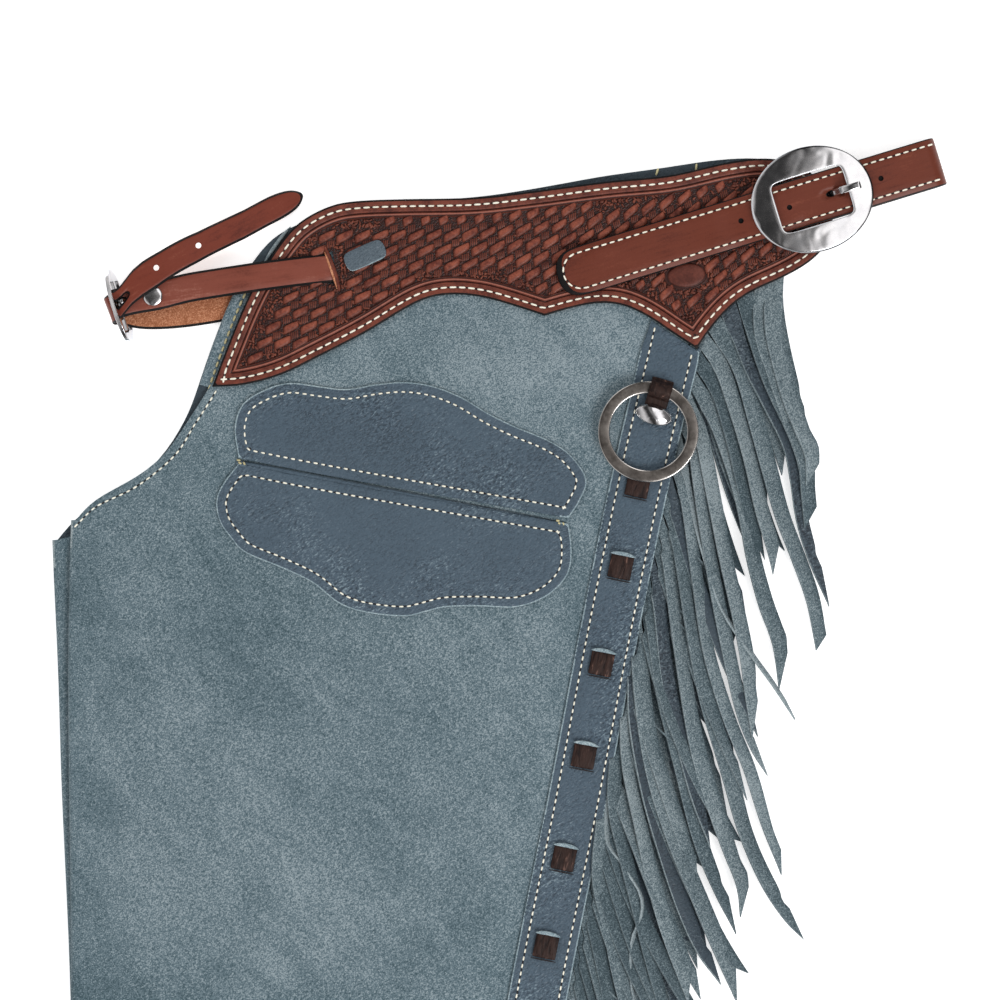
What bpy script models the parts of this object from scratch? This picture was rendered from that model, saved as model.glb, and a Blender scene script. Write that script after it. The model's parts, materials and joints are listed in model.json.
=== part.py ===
"""Western shotgun chaps of rough-out leather, laid flat on a table with the left leg on the right one.

Plan coordinates are millimetres: X towards the back of the chaps, Y towards the waist, with the zero
at mid calf of the pair as it lies. Z is up from the table. Each leg is one cut piece folded round at
the inseam, so it is a wall, a fold and a second wall. Everything laid on another piece is lifted by
that piece's thickness and a small gap, with a soft ramp where the lower piece ends.
"""

import math

import bmesh
import bpy
from mathutils import Vector
from mathutils.geometry import delaunay_2d_cdt

MM = 0.001

# Leather and metal thicknesses.
LEG_T = 1.6
YOKE_T = 3.0
PATCH_T = 1.6
BAND_T = 1.8
STRAND_T = 1.3
STRAP_T = 2.4
BELT_T = 3.0
CHAPE_T = 1.6
LOOP_T = 1.6
LACE_T = 1.5
PLATE_T = 2.6

# Gaps: where pieces are sewn or touch, and between the loose layers of the legs.
SEWN = 0.3
LAYER = 0.5

# Widths.
BELT_W = 31.75
STRAP_W = 19.0
BAND_W = 37.8
STRIP_W = 8.0
STRAND_W = 10.5
UNDER_STRAND_W = 9.0
STRAND_PITCH = 13.6
LEAST_TURN = 22.6  # degrees between a strand's start and the seam
STRAND_ROLL = 4.3  # how much higher a strand's outer edge lies than its inner edge
SLIT_W = 0.7
TRIM_BELOW_HEM = 42.0
LACE_W = 16.2
LACE_LENGTH = 17.5
LACE_PITCH = 60.0
LOOP_W = 17.5

# How a layer drapes off the edge of what lies under it.
MARGIN = 6.0
RAMP = 78.0

# The rounded fold at the inseam.
FOLD_R = 3.4
FOLD_BULGE = 3.0
FOLD_REACH = 32.0
FOLD_FADE = 60.0
FOLD_STEPS = 5

# Fineness of the sheets.
FINE_STEP = 20.0
COARSE = 3
EDGE_STEP = 17.0
ROW_STEP = 58.0

HEM_Y = -465.0
RIGHT_HEM_Y = -469.5

# Cut outlines, as runs of (x, y). A run is a smooth curve, and runs meet at corners.
LEFT_YOKE_RUNS = (
    ((-186.5, 398.5), (-176, 420), (-159, 455), (-145, 481), (-126, 503), (-107, 515.5), (-93, 518.5),
     (-63.5, 520), (-17.5, 521), (19.5, 525), (69, 531.5), (110, 535.5), (145.5, 543.5), (169.5, 546.5),
     (188.5, 544), (205, 534.5), (215, 517), (215, 499), (208, 486), (196.5, 476.5), (181.5, 468.5),
     (162, 459.5), (149, 450), (136.5, 436), (127.5, 423)),
    ((127.5, 423), (110.5, 434), (99, 442), (86, 449), (74, 452.5), (60.5, 452.5), (44, 449), (29, 444.5)),
    ((29, 444.5), (2.5, 453), (-13.5, 457), (-30.5, 458.5), (-45.5, 456.5), (-60, 450), (-86.5, 434),
     (-117.5, 418), (-142.5, 406), (-167.5, 399.5), (-186.5, 398.5)),
)
# The straight runs are the notches that let the billet and the belt into this yoke.
RIGHT_YOKE_RUNS = (
    ((-193.5, 399), (-186.5, 420), (-178.6, 441)),
    ((-178.6, 441), (-144.3, 446.9)),
    ((-144.3, 446.9), (-147.7, 466.6)),
    ((-147.7, 466.6), (-167.3, 463.2)),
    ((-167.3, 463.2), (-158, 479), (-146.5, 493.5), (-131, 502), (-107, 512), (-63.5, 517), (-15.5, 520),
     (27.5, 526.5), (65.5, 533.5), (102, 538.5), (141.5, 544.5), (167, 546), (187, 542), (200.2, 535.8)),
    ((200.2, 535.8), (180.98, 529.92)),
    ((180.98, 529.92), (190.45, 498.94)),
    ((190.45, 498.94), (214.2, 506.2)),
    ((214.2, 506.2), (214, 496), (205, 486.5), (179.5, 469.5), (159, 460.5), (146, 451), (133.5, 437),
     (124, 424.5)),
    ((124, 424.5), (97.5, 441), (72.5, 451.5), (58.5, 451.5), (26.5, 443.5)),
    ((26.5, 443.5), (0, 452), (-34, 457.5), (-64, 449), (-91, 433), (-122.5, 417), (-148, 405),
     (-173.5, 399), (-193.5, 399)),
)
# The legs above the hem: up the front edge from the crotch, then along the waist.
LEFT_FRONT_EDGE = ((-278.5, 312), (-264.5, 325), (-238.5, 338), (-215, 357), (-203, 375.5), (-194.5, 388.5),
                   (-189, 397.5))
RIGHT_FRONT_EDGE = ((-291, 299), (-273, 317), (-244, 333), (-221, 349.5), (-203.5, 377.5), (-190.5, 415.5),
                    (-174, 458), (-161, 479.5))
RIGHT_WAIST = ((-161, 479.5), (-148, 495.5), (-132, 504), (-107, 513), (-63.5, 518.5), (-15.5, 521.5),
               (27.5, 528), (65.5, 535), (102, 540), (141.5, 546), (167.5, 547.5), (188, 543.5), (201, 535),
               (213, 517), (214.5, 499), (205, 487), (187.5, 483))
# Inseam folds, as (y, x).
LEFT_FOLD = ((312, -278.5), (234, -280.5), (130, -279.5), (0, -278), (-195, -277), (-465, -275.5))
RIGHT_FOLD = ((299, -291), (251.5, -289), (187, -286), (122, -285), (79.5, -282), (0, -279), (-195, -275),
              (-469.5, -272.5))
# The cut-away top of each leg's back wall, from the crotch to the outer seam.
LEFT_BACK_TOP = ((-278.5, 312), (-195, 325), (-65, 362), (60, 405), (121, 432))
RIGHT_BACK_TOP = ((-291, 299), (-197, 322), (-67, 359), (58, 402), (119, 429))
# The middle of the outer seam's band, as (y, x).
BAND_LINE = ((462, 119.5), (435.5, 114), (344.5, 92.5), (243, 71.5), (123, 48.5), (0.5, 24), (-143, 0),
             (-292.5, -17.5), (-465, -27.5))
BAND_TOP = ((98.2, 441.2), (110.3, 432.9), (127.7, 421.7), (129.4, 424.0))
# Where the fringe is rooted: under the yoke's back edge, then along the band's back edge.
YOKE_ROOT = ((189.4, 472.7), (161.4, 459.7), (148.1, 450.3), (136.0, 436.5), (130.0, 424.5))
BAND_ROOT_TOP = 405.0

UPPER_PATCH_RUNS = (
    ((-169.5, 352.2), (-172, 372), (-166.5, 387.5), (-151.5, 397), (-136, 401), (-117, 398.8), (-99.5, 397),
     (-81, 400), (-62.5, 401.5), (-44, 399), (-25.5, 392), (-7, 381), (10.5, 372.5), (31, 364), (46, 354),
     (56, 338.5), (52, 325), (44.5, 313.2)),
    ((44.5, 313.2), (-108, 340.2), (-169.5, 352.2)),
)
LOWER_PATCH_RUNS = (
    ((-169.5, 348.6), (-179, 336.5), (-184, 325), (-182, 311.5), (-165.5, 291), (-143, 281.5), (-122, 271.5),
     (-104.5, 258), (-87, 252), (-62.5, 249.5), (-35, 255.5), (-13, 256), (10.5, 255.5), (30, 262.5),
     (43.5, 276), (46.5, 292), (44.5, 309.6)),
    ((44.5, 309.6), (-108, 336.6), (-169.5, 348.6)),
)

# The oval buckle of the belt, its window and its dropped bar.
BELT_HEADING = 17.0
BUCKLE_CENTRE = (202.5, 519.5)
BUCKLE_HALF = (39.5, 34.0)
WINDOW_HALF = (24.0, 17.0)
BAR_PLACE = (186.0, 514.5)
BAR_R = 1.3
BUCKLE_DOME = 2.2

# The small buckle of the front strap, standing on edge.
FRONT_HEADING = 17.0
FRONT_BAR = (-246.5, 450.5)
FRONT_BAR_Z = 14.2
FRONT_HALF = (25.0, 13.7)
FRONT_WINDOW = (16.5, 8.6)

# The ring that hangs in its leather loop on the band.
RING_CENTRE = (95.95, 369.2)
RING_PIVOT = (103.8, 396.1)
RING_OUTER = 32.7
RING_INNER = 25.0
RING_T = 3.2
PIVOT_LIFT = 4.9
CONCHO_CENTRE = (99.6, 380.0)
CONCHO_HALF = (12.0, 6.8)
CONCHO_T = 4.0

SCREW_CENTRE = (-225.5, 457.0)
SCREW_R = 5.5
TAB_CENTRE = (-87.5, 483.5)
TAB_HALF = (15.0, 7.2)
TAB_HEADING = 24.0
STRAP_SLIT_CENTRE = (-108.8, 475.5)
STRAP_SLIT_HALF = (3.8, 10.4)
STRAP_SLIT_HEADING = 8.0

SUEDE = (0.14, 0.21, 0.245, 1)
GRAIN = (0.065, 0.105, 0.14, 1)
TOOLED = (0.26, 0.055, 0.022, 1)
STRAP_BROWN = (0.165, 0.042, 0.018, 1)
LACE_BROWN = (0.06, 0.022, 0.018, 1)
CHROME = (0.72, 0.73, 0.75, 1)
NICKEL = (0.2, 0.18, 0.165, 1)


# ---- curves and outlines ----
def smooth(points, step):
    """A Catmull-Rom curve through points, sampled about every step."""
    if len(points) == 2:
        return [tuple(points[0]), tuple(points[1])]
    ends = [tuple(2 * a - b for a, b in zip(points[0], points[1]))]
    tail = [tuple(2 * a - b for a, b in zip(points[-1], points[-2]))]
    rows = ends + [tuple(p) for p in points] + tail
    made = []
    for p0, p1, p2, p3 in zip(rows, rows[1:], rows[2:], rows[3:]):
        count = max(1, round(math.dist(p1, p2) / step))
        for i in range(count):
            t = i / count
            made.append(tuple(
                0.5 * (2 * b + (c - a) * t + (2 * a - 5 * b + 4 * c - d) * t * t + (3 * b - a - 3 * c + d) * t ** 3)
                for a, b, c, d in zip(p0, p1, p2, p3)))
    return made + [tuple(points[-1])]


def outline(runs, step=EDGE_STEP):
    """A closed outline from runs that meet end to end."""
    rim = []
    for run in runs:
        rim.extend(smooth(run, step)[:-1])
    return rim


def table_x(table, y):
    """Reads x at y from a table of (y, x) rows, along a smooth curve."""
    rows = sorted(table)
    y = min(max(y, rows[0][0]), rows[-1][0])
    k = min(max(i for i, row in enumerate(rows) if row[0] <= y), len(rows) - 2)
    (y1, x1), (y2, x2) = rows[k], rows[k + 1]
    y0, x0 = rows[k - 1] if k else (2 * y1 - y2, 2 * x1 - x2)
    y3, x3 = rows[k + 2] if k + 2 < len(rows) else (2 * y2 - y1, 2 * x2 - x1)
    t, span = (y - y1) / (y2 - y1), y2 - y1
    slope1, slope2 = span * (x2 - x0) / (y2 - y0), span * (x3 - x1) / (y3 - y1)
    return ((2 * t ** 3 - 3 * t * t + 1) * x1 + (t ** 3 - 2 * t * t + t) * slope1
            + (3 * t * t - 2 * t ** 3) * x2 + (t ** 3 - t * t) * slope2)


def beside(line, distance):
    """An open line moved sideways, to the left of its travel where distance is above 0."""
    moved = []
    for i, (x, y) in enumerate(line):
        ax, ay = line[max(i - 1, 0)]
        bx, by = line[min(i + 1, len(line) - 1)]
        length = math.hypot(bx - ax, by - ay)
        moved.append((x - (by - ay) / length * distance, y + (bx - ax) / length * distance))
    return moved


def inside(rim, x, y):
    hit = False
    for (ax, ay), (bx, by) in zip(rim, rim[1:] + rim[:1]):
        if (ay > y) != (by > y) and x < (bx - ax) * (y - ay) / (by - ay) + ax:
            hit = not hit
    return hit


def rim_distance(rim, x, y):
    best = 1e9
    for (ax, ay), (bx, by) in zip(rim, rim[1:] + rim[:1]):
        dx, dy = bx - ax, by - ay
        t = ((x - ax) * dx + (y - ay) * dy) / max(dx * dx + dy * dy, 1e-9)
        t = min(max(t, 0), 1)
        best = min(best, (x - ax - t * dx) ** 2 + (y - ay - t * dy) ** 2)
    return math.sqrt(best)


def outside(rim, x, y):
    """How far outside rim a point lies, below 0 inside it."""
    distance = rim_distance(rim, x, y)
    return -distance if inside(rim, x, y) else distance


def ease(t):
    t = min(max(t, 0), 1)
    return t * t * (3 - 2 * t)


def turned(centre, along, across, heading):
    """A point given along and across a heading in degrees."""
    c, s = math.cos(math.radians(heading)), math.sin(math.radians(heading))
    return (centre[0] + along * c - across * s, centre[1] + along * s + across * c)


# ---- the cut pieces in plan ----
band_rows = [435 - 17 * i for i in range(10)] + [225 - 57 * i for i in range(12)]
band_middle = [(table_x(BAND_LINE, y), y) for y in band_rows + [HEM_Y]]
band_left = beside(band_middle, -BAND_W / 2)
band_right = beside(band_middle, BAND_W / 2)
band_rim = ([p for p in BAND_TOP] + [p for p in band_right if p[1] < BAND_TOP[-1][1] - 4]
            + [p for p in reversed(band_left) if p[1] < BAND_TOP[0][1] - 4])

band_root = [p for p in beside(band_middle, BAND_W / 2 + 0.1) if p[1] < BAND_ROOT_TOP]
root_line = smooth(list(YOKE_ROOT) + band_root, 6.0)
seam_line = beside(root_line, -(STRIP_W + SEWN + 0.25))
seam_edge = [p for i, p in enumerate(seam_line[:-1])
             if i % (2 if p[1] > 395 else 3 if p[1] > 285 else 9) == 0] + [seam_line[-1]]

left_yoke_rim = outline(LEFT_YOKE_RUNS)
right_yoke_rim = outline(RIGHT_YOKE_RUNS)
right_yoke_cover = outline([run for run in RIGHT_YOKE_RUNS if len(run) > 2])


def fold_rows(table, top, bottom):
    """The heights at which a fold is drawn, closer together where it starts."""
    rows = [top, top - 18, top - 38]
    count = round((rows[-1] - bottom) / ROW_STEP)
    rows += [rows[-1] + (bottom - rows[-1]) * i / count for i in range(1, count + 1)]
    return [(table_x(table, y) + FOLD_R, y) for y in rows]


left_fold = fold_rows(LEFT_FOLD, LEFT_FOLD[0][0], HEM_Y)
right_fold = fold_rows(RIGHT_FOLD, RIGHT_FOLD[0][0], RIGHT_HEM_Y)


def hem(x_from, x_to, y, sag=4.0, count=8):
    """The bottom edge, which dips a little in the middle."""
    rows = []
    for i in range(1, count):
        t = i / count
        rows.append((x_from + (x_to - x_from) * t, y - sag * math.sin(math.pi * t)))
    return rows


def leg_rims(fold, front_edge, waist, back_top, seam, hem_y):
    """The rims of a leg's front wall and back wall, each starting with the fold's points from the top."""
    seam_end = (seam[-1][0], hem_y)
    hem_run = hem(fold[-1][0], seam_end[0], hem_y)
    sides = [p for p in seam if p[1] > hem_y + 6] + [seam_end]
    front = list(fold) + hem_run + list(reversed(sides)) + list(reversed(waist)) + list(reversed(front_edge[1:]))
    top = smooth(back_top, 40.0)
    low_sides = [p for p in sides if p[1] < back_top[-1][1] - 8]
    back = list(fold) + hem_run + list(reversed(low_sides)) + list(reversed(top[1:]))
    return front, back


left_waist = beside(smooth(LEFT_YOKE_RUNS[0], 24.0), -1.2)
left_waist = [p for i, p in enumerate(left_waist) if i > 0 and (p[1] > 480 or p[0] < 0)]
left_front_rim, left_back_rim = leg_rims(left_fold, smooth(LEFT_FRONT_EDGE, 20.0), left_waist,
                                         LEFT_BACK_TOP, seam_edge, HEM_Y)
right_seam = [(x - 2.0, y) for x, y in seam_edge]
right_front_rim, right_back_rim = leg_rims(right_fold, smooth(RIGHT_FRONT_EDGE, 24.0), smooth(RIGHT_WAIST, 24.0)[1:],
                                           RIGHT_BACK_TOP, right_seam, RIGHT_HEM_Y)


# ---- how high each layer lies ----
def cover(rim, x, y):
    """The share of a lower piece's thickness that lifts what lies on it: 1 over the piece, 0 far from it."""
    return ease(1 - (outside(rim, x, y) - MARGIN) / RAMP)


def bulge(table, x, y):
    """The roundness of a fold below, which fades into the leg and towards the crotch."""
    away = (x - table_x(table, y) - FOLD_R) / FOLD_REACH
    share = (1 - min(max(away, 0), 1)) ** 2
    return FOLD_BULGE * share * ease((table[0][0] - y) / FOLD_FADE)


lift_store = {}


def lifts(x, y):
    """The height of the underside of the right front, right back, left back and left front walls."""
    key = (round(x, 3), round(y, 3))
    if key not in lift_store:
        right_front = (YOKE_T + SEWN) * cover(right_yoke_cover, x, y)
        step = LEG_T + LAYER
        right_back = right_front + step * cover(right_front_rim, x, y) + bulge(RIGHT_FOLD, x, y)
        left_back = right_back + step * cover(right_back_rim, x, y)
        left_front = left_back + step * cover(left_back_rim, x, y) + bulge(LEFT_FOLD, x, y)
        lift_store[key] = (right_front, right_back, left_back, left_front)
    return lift_store[key]


def on_right_front(x, y):
    return lifts(x, y)[0]


def on_right_back(x, y):
    return lifts(x, y)[1]


def on_left_back(x, y):
    return lifts(x, y)[2]


def on_left_front(x, y):
    return lifts(x, y)[3]


def on_left_leg(x, y):
    """The underside of what is sewn on the left leg's outside."""
    return on_left_front(x, y) + LEG_T + SEWN


def on_left_yoke(x, y):
    return on_left_leg(x, y) + YOKE_T + SEWN


def busy(x, y):
    """True where a layer drapes off an edge below, so that the sheets need close points."""
    return any(-4 < outside(rim, x, y) < MARGIN + RAMP + 8
               for rim in (right_yoke_cover, left_back_rim))


# ---- building sheets ----
lattice_store = []


def lattice():
    """Points that every sheet shares, so that layers have the same facets: close ones where busy."""
    if not lattice_store:
        for y, x0, x1 in [(row[1], row[0], 0) for row in left_fold + right_fold]:
            for reach in (9, 19, 31):
                lattice_store.append((x0 + reach, y))
        rows = range(int(-480 / (FINE_STEP * 0.866)), int(560 / (FINE_STEP * 0.866)) + 1)
        for r in rows:
            for c in range(-16, 12):
                x, y = (c + 0.5 * (r % 2)) * FINE_STEP, r * FINE_STEP * 0.866
                coarse = r % COARSE == 0 and (c - (r // COARSE) % 2) % COARSE == 0
                if y < 300 and x < table_x(RIGHT_FOLD, y) + 60:
                    continue
                if coarse or busy(x, y):
                    lattice_store.append((x, y))
    return lattice_store


def triangles(rim, holes=(), clear=7.0):
    """Triangulates an outline with holes over the shared points: (points, faces), the rim's points first."""
    loops = [list(rim)] + [list(h) for h in holes]
    points, edges = [], []
    for loop in loops:
        start = len(points)
        points += loop
        edges += [(start + i, start + (i + 1) % len(loop)) for i in range(len(loop))]
    xs, ys = [p[0] for p in rim], [p[1] for p in rim]
    for x, y in lattice():
        if min(xs) < x < max(xs) and min(ys) < y < max(ys) and inside(rim, x, y):
            if all(rim_distance(loop, x, y) > clear for loop in loops):
                if not any(inside(h, x, y) for h in loops[1:]):
                    points.append((x, y))
    made, _, faces, origins, *_ = delaunay_2d_cdt([Vector(p) for p in points], edges, [], 2, 1e-6)
    place = {old: new for new, olds in enumerate(origins) for old in olds}
    kept = []
    for face in faces:
        x, y = (sum(made[i][axis] for i in face) / len(face) for axis in (0, 1))
        if inside(loops[0], x, y) and not any(inside(h, x, y) for h in loops[1:]):
            kept.append(list(face))
    return [tuple(v) for v in made], kept, place


def add_wall(bm, rim, bottom, thickness, holes=(), skip=0):
    """Adds a wall on bottom(x, y). The first skip rim points are a fold, whose edge stays open."""
    points, faces, place = triangles(rim, holes)
    low = [bm.verts.new((x, y, bottom(x, y))) for x, y in points]
    high = [bm.verts.new((x, y, bottom(x, y) + thickness)) for x, y in points]
    open_edges = {(place[i], place[i + 1]) for i in range(max(skip - 1, 0))}
    used = {}
    for face in faces:
        area = sum(points[a][0] * points[b][1] - points[b][0] * points[a][1]
                   for a, b in zip(face, face[1:] + face[:1]))
        face = face if area > 0 else face[::-1]
        bm.faces.new([high[i] for i in face])
        bm.faces.new([low[i] for i in reversed(face)])
        for a, b in zip(face, face[1:] + face[:1]):
            used[(a, b)] = True
    for a, b in used:
        if (b, a) not in used and (a, b) not in open_edges and (b, a) not in open_edges:
            bm.faces.new((low[a], low[b], high[b], high[a]))
    loose = [v for v in low + high if not v.link_faces]
    fold = [(low[place[i]], high[place[i]]) for i in range(skip)]
    for v in loose:
        bm.verts.remove(v)
    return fold


def add_fold(bm, front, back):
    """Joins the open edges of two walls with a rounded fold."""
    outer, inner = [], []
    for (front_low, front_high), (back_low, back_high) in zip(front, back):
        x, y, _ = front_high.co
        middle = (front_high.co.z + back_low.co.z) / 2
        rise = (front_high.co.z - back_low.co.z) / 2
        rings = ([front_high], [front_low])
        for k in range(1, FOLD_STEPS):
            angle = math.pi * k / FOLD_STEPS
            for ring, wide, tall in zip(rings, (FOLD_R, FOLD_R - LEG_T), (rise, rise - LEG_T)):
                ring.append(bm.verts.new((x - wide * math.sin(angle), y, middle + tall * math.cos(angle))))
        outer.append(rings[0] + [back_low])
        inner.append(rings[1] + [back_high])
    for j in range(len(outer) - 1):
        for k in range(FOLD_STEPS):
            bm.faces.new((outer[j][k], outer[j][k + 1], outer[j + 1][k + 1], outer[j + 1][k]))
            bm.faces.new((inner[j][k], inner[j + 1][k], inner[j + 1][k + 1], inner[j][k + 1]))
    for k in range(FOLD_STEPS):
        bm.faces.new((outer[0][k], inner[0][k], inner[0][k + 1], outer[0][k + 1]))
        bm.faces.new((outer[-1][k], outer[-1][k + 1], inner[-1][k + 1], inner[-1][k]))


pieces = []


def finish(name, bm, colour, metal=0.0, rough=0.7, round_piece=False):
    """Turns a mesh in plan millimetres into a named object with its own material."""
    bmesh.ops.triangulate(bm, faces=bm.faces)
    mesh = bpy.data.meshes.new(name)
    bm.to_mesh(mesh)
    bm.free()
    if round_piece:
        mesh.shade_smooth()
        mesh.set_sharp_from_angle(angle=math.radians(35))
    material = bpy.data.materials.new(name)
    material.use_nodes = True
    shader = material.node_tree.nodes["Principled BSDF"]
    shader.inputs["Base Color"].default_value = colour
    shader.inputs["Metallic"].default_value = metal
    shader.inputs["Roughness"].default_value = rough
    mesh.materials.append(material)
    made = bpy.data.objects.new(name, mesh)
    bpy.context.scene.collection.objects.link(made)
    pieces.append(made)
    return made


def sheet(name, colour, rim, bottom, thickness, holes=()):
    bm = bmesh.new()
    add_wall(bm, rim, bottom, thickness, holes)
    return finish(name, bm, colour)


def folded_leg(name, front_rim, back_rim, fold_count, front_bottom, back_bottom, front_on_top):
    """One cut piece folded at the inseam. The upper wall is the front on the left leg, the back on the right."""
    bm = bmesh.new()
    front = add_wall(bm, front_rim, front_bottom, LEG_T, skip=fold_count)
    back = add_wall(bm, back_rim, back_bottom, LEG_T, skip=fold_count)
    add_fold(bm, *((front, back) if front_on_top else (back, front)))
    return finish(name, bm, SUEDE)


# ---- building straps ----
def ribbon(name, colour, stations, width, thickness, slot=None, metal=0.0):
    """A strap through stations of (x, y, z, heading, width share). Its width stays level, across heading.

    slot is (first station, last station, half width): the strap is cut through between them.
    """
    bm = bmesh.new()
    grid = []
    for i, (x, y, z, heading, share) in enumerate(stations):
        before, after = stations[max(i - 1, 0)], stations[min(i + 1, len(stations) - 1)]
        ahead = (Vector(after[:3]) - Vector(before[:3])).normalized()
        side = Vector((-math.sin(math.radians(heading)), math.cos(math.radians(heading)), 0))
        up = ahead.cross(side).normalized()
        half = width / 2 * share
        inner = min(slot[2], half * 0.5) if slot else 0
        columns = (-half, -inner, inner, half) if slot else (-half, half)
        centre = Vector((x, y, z))
        grid.append([(bm.verts.new(centre + side * c - up * thickness / 2),
                      bm.verts.new(centre + side * c + up * thickness / 2)) for c in columns])
    last = len(grid[0]) - 1
    for i, (here, there) in enumerate(zip(grid, grid[1:])):
        cut = slot is not None and slot[0] <= i < slot[1]
        for j in range(last):
            if not (cut and j == 1):
                bm.faces.new((here[j][1], there[j][1], there[j + 1][1], here[j + 1][1]))
                bm.faces.new((here[j][0], here[j + 1][0], there[j + 1][0], there[j][0]))
        for j, flip in [(0, False), (last, True)] + ([(1, True), (2, False)] if cut else []):
            quad = (here[j][0], there[j][0], there[j][1], here[j][1])
            bm.faces.new(quad[::-1] if flip else quad)
    for i, flip in [(0, True), (len(grid) - 1, False)] + ([(slot[0], False), (slot[1], True)] if slot else []):
        row = grid[i]
        span = [1] if slot and i in slot[:2] else range(last)
        for j in span:
            quad = (row[j][0], row[j + 1][0], row[j + 1][1], row[j][1])
            bm.faces.new(quad[::-1] if flip else quad)
    bmesh.ops.recalc_face_normals(bm, faces=bm.faces)
    return finish(name, bm, colour, metal=metal, rough=0.25 if metal else 0.6)


def turn_stations(centre, z, radius, heading_from, heading_to, low_first=True, steps=6, slide=0.0, side=-1):
    """Stations round a half circle that stands on edge, from below to above its centre."""
    rows = []
    for i in range(steps + 1):
        t = i / steps
        angle = math.pi * (t - 0.5)
        heading = heading_from + (heading_to - heading_from) * t
        x, y = turned(centre, side * radius * math.cos(angle), slide * (t - 0.5), heading)
        rows.append((x, y, z + radius * math.sin(angle), heading, 1.0))
    return rows if low_first else rows[::-1]


def run_stations(rows, first_heading=None, last_heading=None):
    """Stations along rows of (x, y, z, width share), with headings read from the rows."""
    made = []
    for i, (x, y, z, share) in enumerate(rows):
        ax, ay = rows[max(i - 1, 0)][:2]
        bx, by = rows[min(i + 1, len(rows) - 1)][:2]
        heading = math.degrees(math.atan2(by - ay, bx - ax))
        made.append([x, y, z, heading, share])
    if first_heading is not None:
        made[0][3] = first_heading
    if last_heading is not None:
        made[-1][3] = last_heading
    return [tuple(row) for row in made]


# ---- start from an empty scene ----
for old in list(bpy.data.objects):
    bpy.data.objects.remove(old)

# ---- the legs and the yokes ----
sheet("right_yoke", TOOLED, right_yoke_rim, lambda x, y: 0.0, YOKE_T)
folded_leg("right_leg", right_front_rim, right_back_rim, len(right_fold), on_right_front, on_right_back, False)
folded_leg("left_leg", left_front_rim, left_back_rim, len(left_fold), on_left_front, on_left_back, True)

strap_slit = [turned(STRAP_SLIT_CENTRE, a * STRAP_SLIT_HALF[0], b * STRAP_SLIT_HALF[1], STRAP_SLIT_HEADING)
              for a, b in ((-1, -1), (1, -1), (1, 1), (-1, 1))]
sheet("left_yoke", TOOLED, left_yoke_rim, on_left_leg, YOKE_T, holes=[strap_slit])

# ---- the pocket patches and the outer seam's band ----
sheet("upper_pocket_patch", GRAIN, outline(UPPER_PATCH_RUNS), on_left_leg, PATCH_T)
sheet("lower_pocket_patch", GRAIN, outline(LOWER_PATCH_RUNS), on_left_leg, PATCH_T)
sheet("side_band", GRAIN, band_rim, on_left_leg, BAND_T)


# ---- the brown lace that shows in short stretches on the band ----
def band_heading(y):
    return math.degrees(math.atan2(20, table_x(BAND_LINE, y + 10) - table_x(BAND_LINE, y - 10)))


lace_heights = [335.0, 282.0, 219.3, 159.3, 93.0, 36.0]
while lace_heights[-1] - LACE_PITCH > HEM_Y + 40:
    lace_heights.append(lace_heights[-1] - LACE_PITCH)
for lace_number, lace_y in enumerate(lace_heights, 1):
    heading = band_heading(lace_y)
    middle = (table_x(BAND_LINE, lace_y) - 1.0, lace_y)
    rows = []
    for share, rise in ((-0.5, 0.0), (-0.25, 0.7), (0.25, 0.7), (0.5, 0.0)):
        x, y = turned(middle, share * LACE_LENGTH, 0, heading)
        rows.append((x, y, on_left_leg(x, y) + BAND_T + SEWN + LACE_T / 2 + rise, heading, 1.0))
    ribbon(f"lace_{lace_number:02d}", LACE_BROWN, rows, LACE_W, LACE_T)


# ---- the fringe ----
def along(line, distance):
    """The point and unit direction at a distance along a line."""
    for (ax, ay), (bx, by) in zip(line, line[1:]):
        length = math.hypot(bx - ax, by - ay)
        if distance <= length:
            break
        distance -= length
    t = distance / length
    return (ax + (bx - ax) * t, ay + (by - ay) * t), ((bx - ax) / length, (by - ay) / length)


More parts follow.
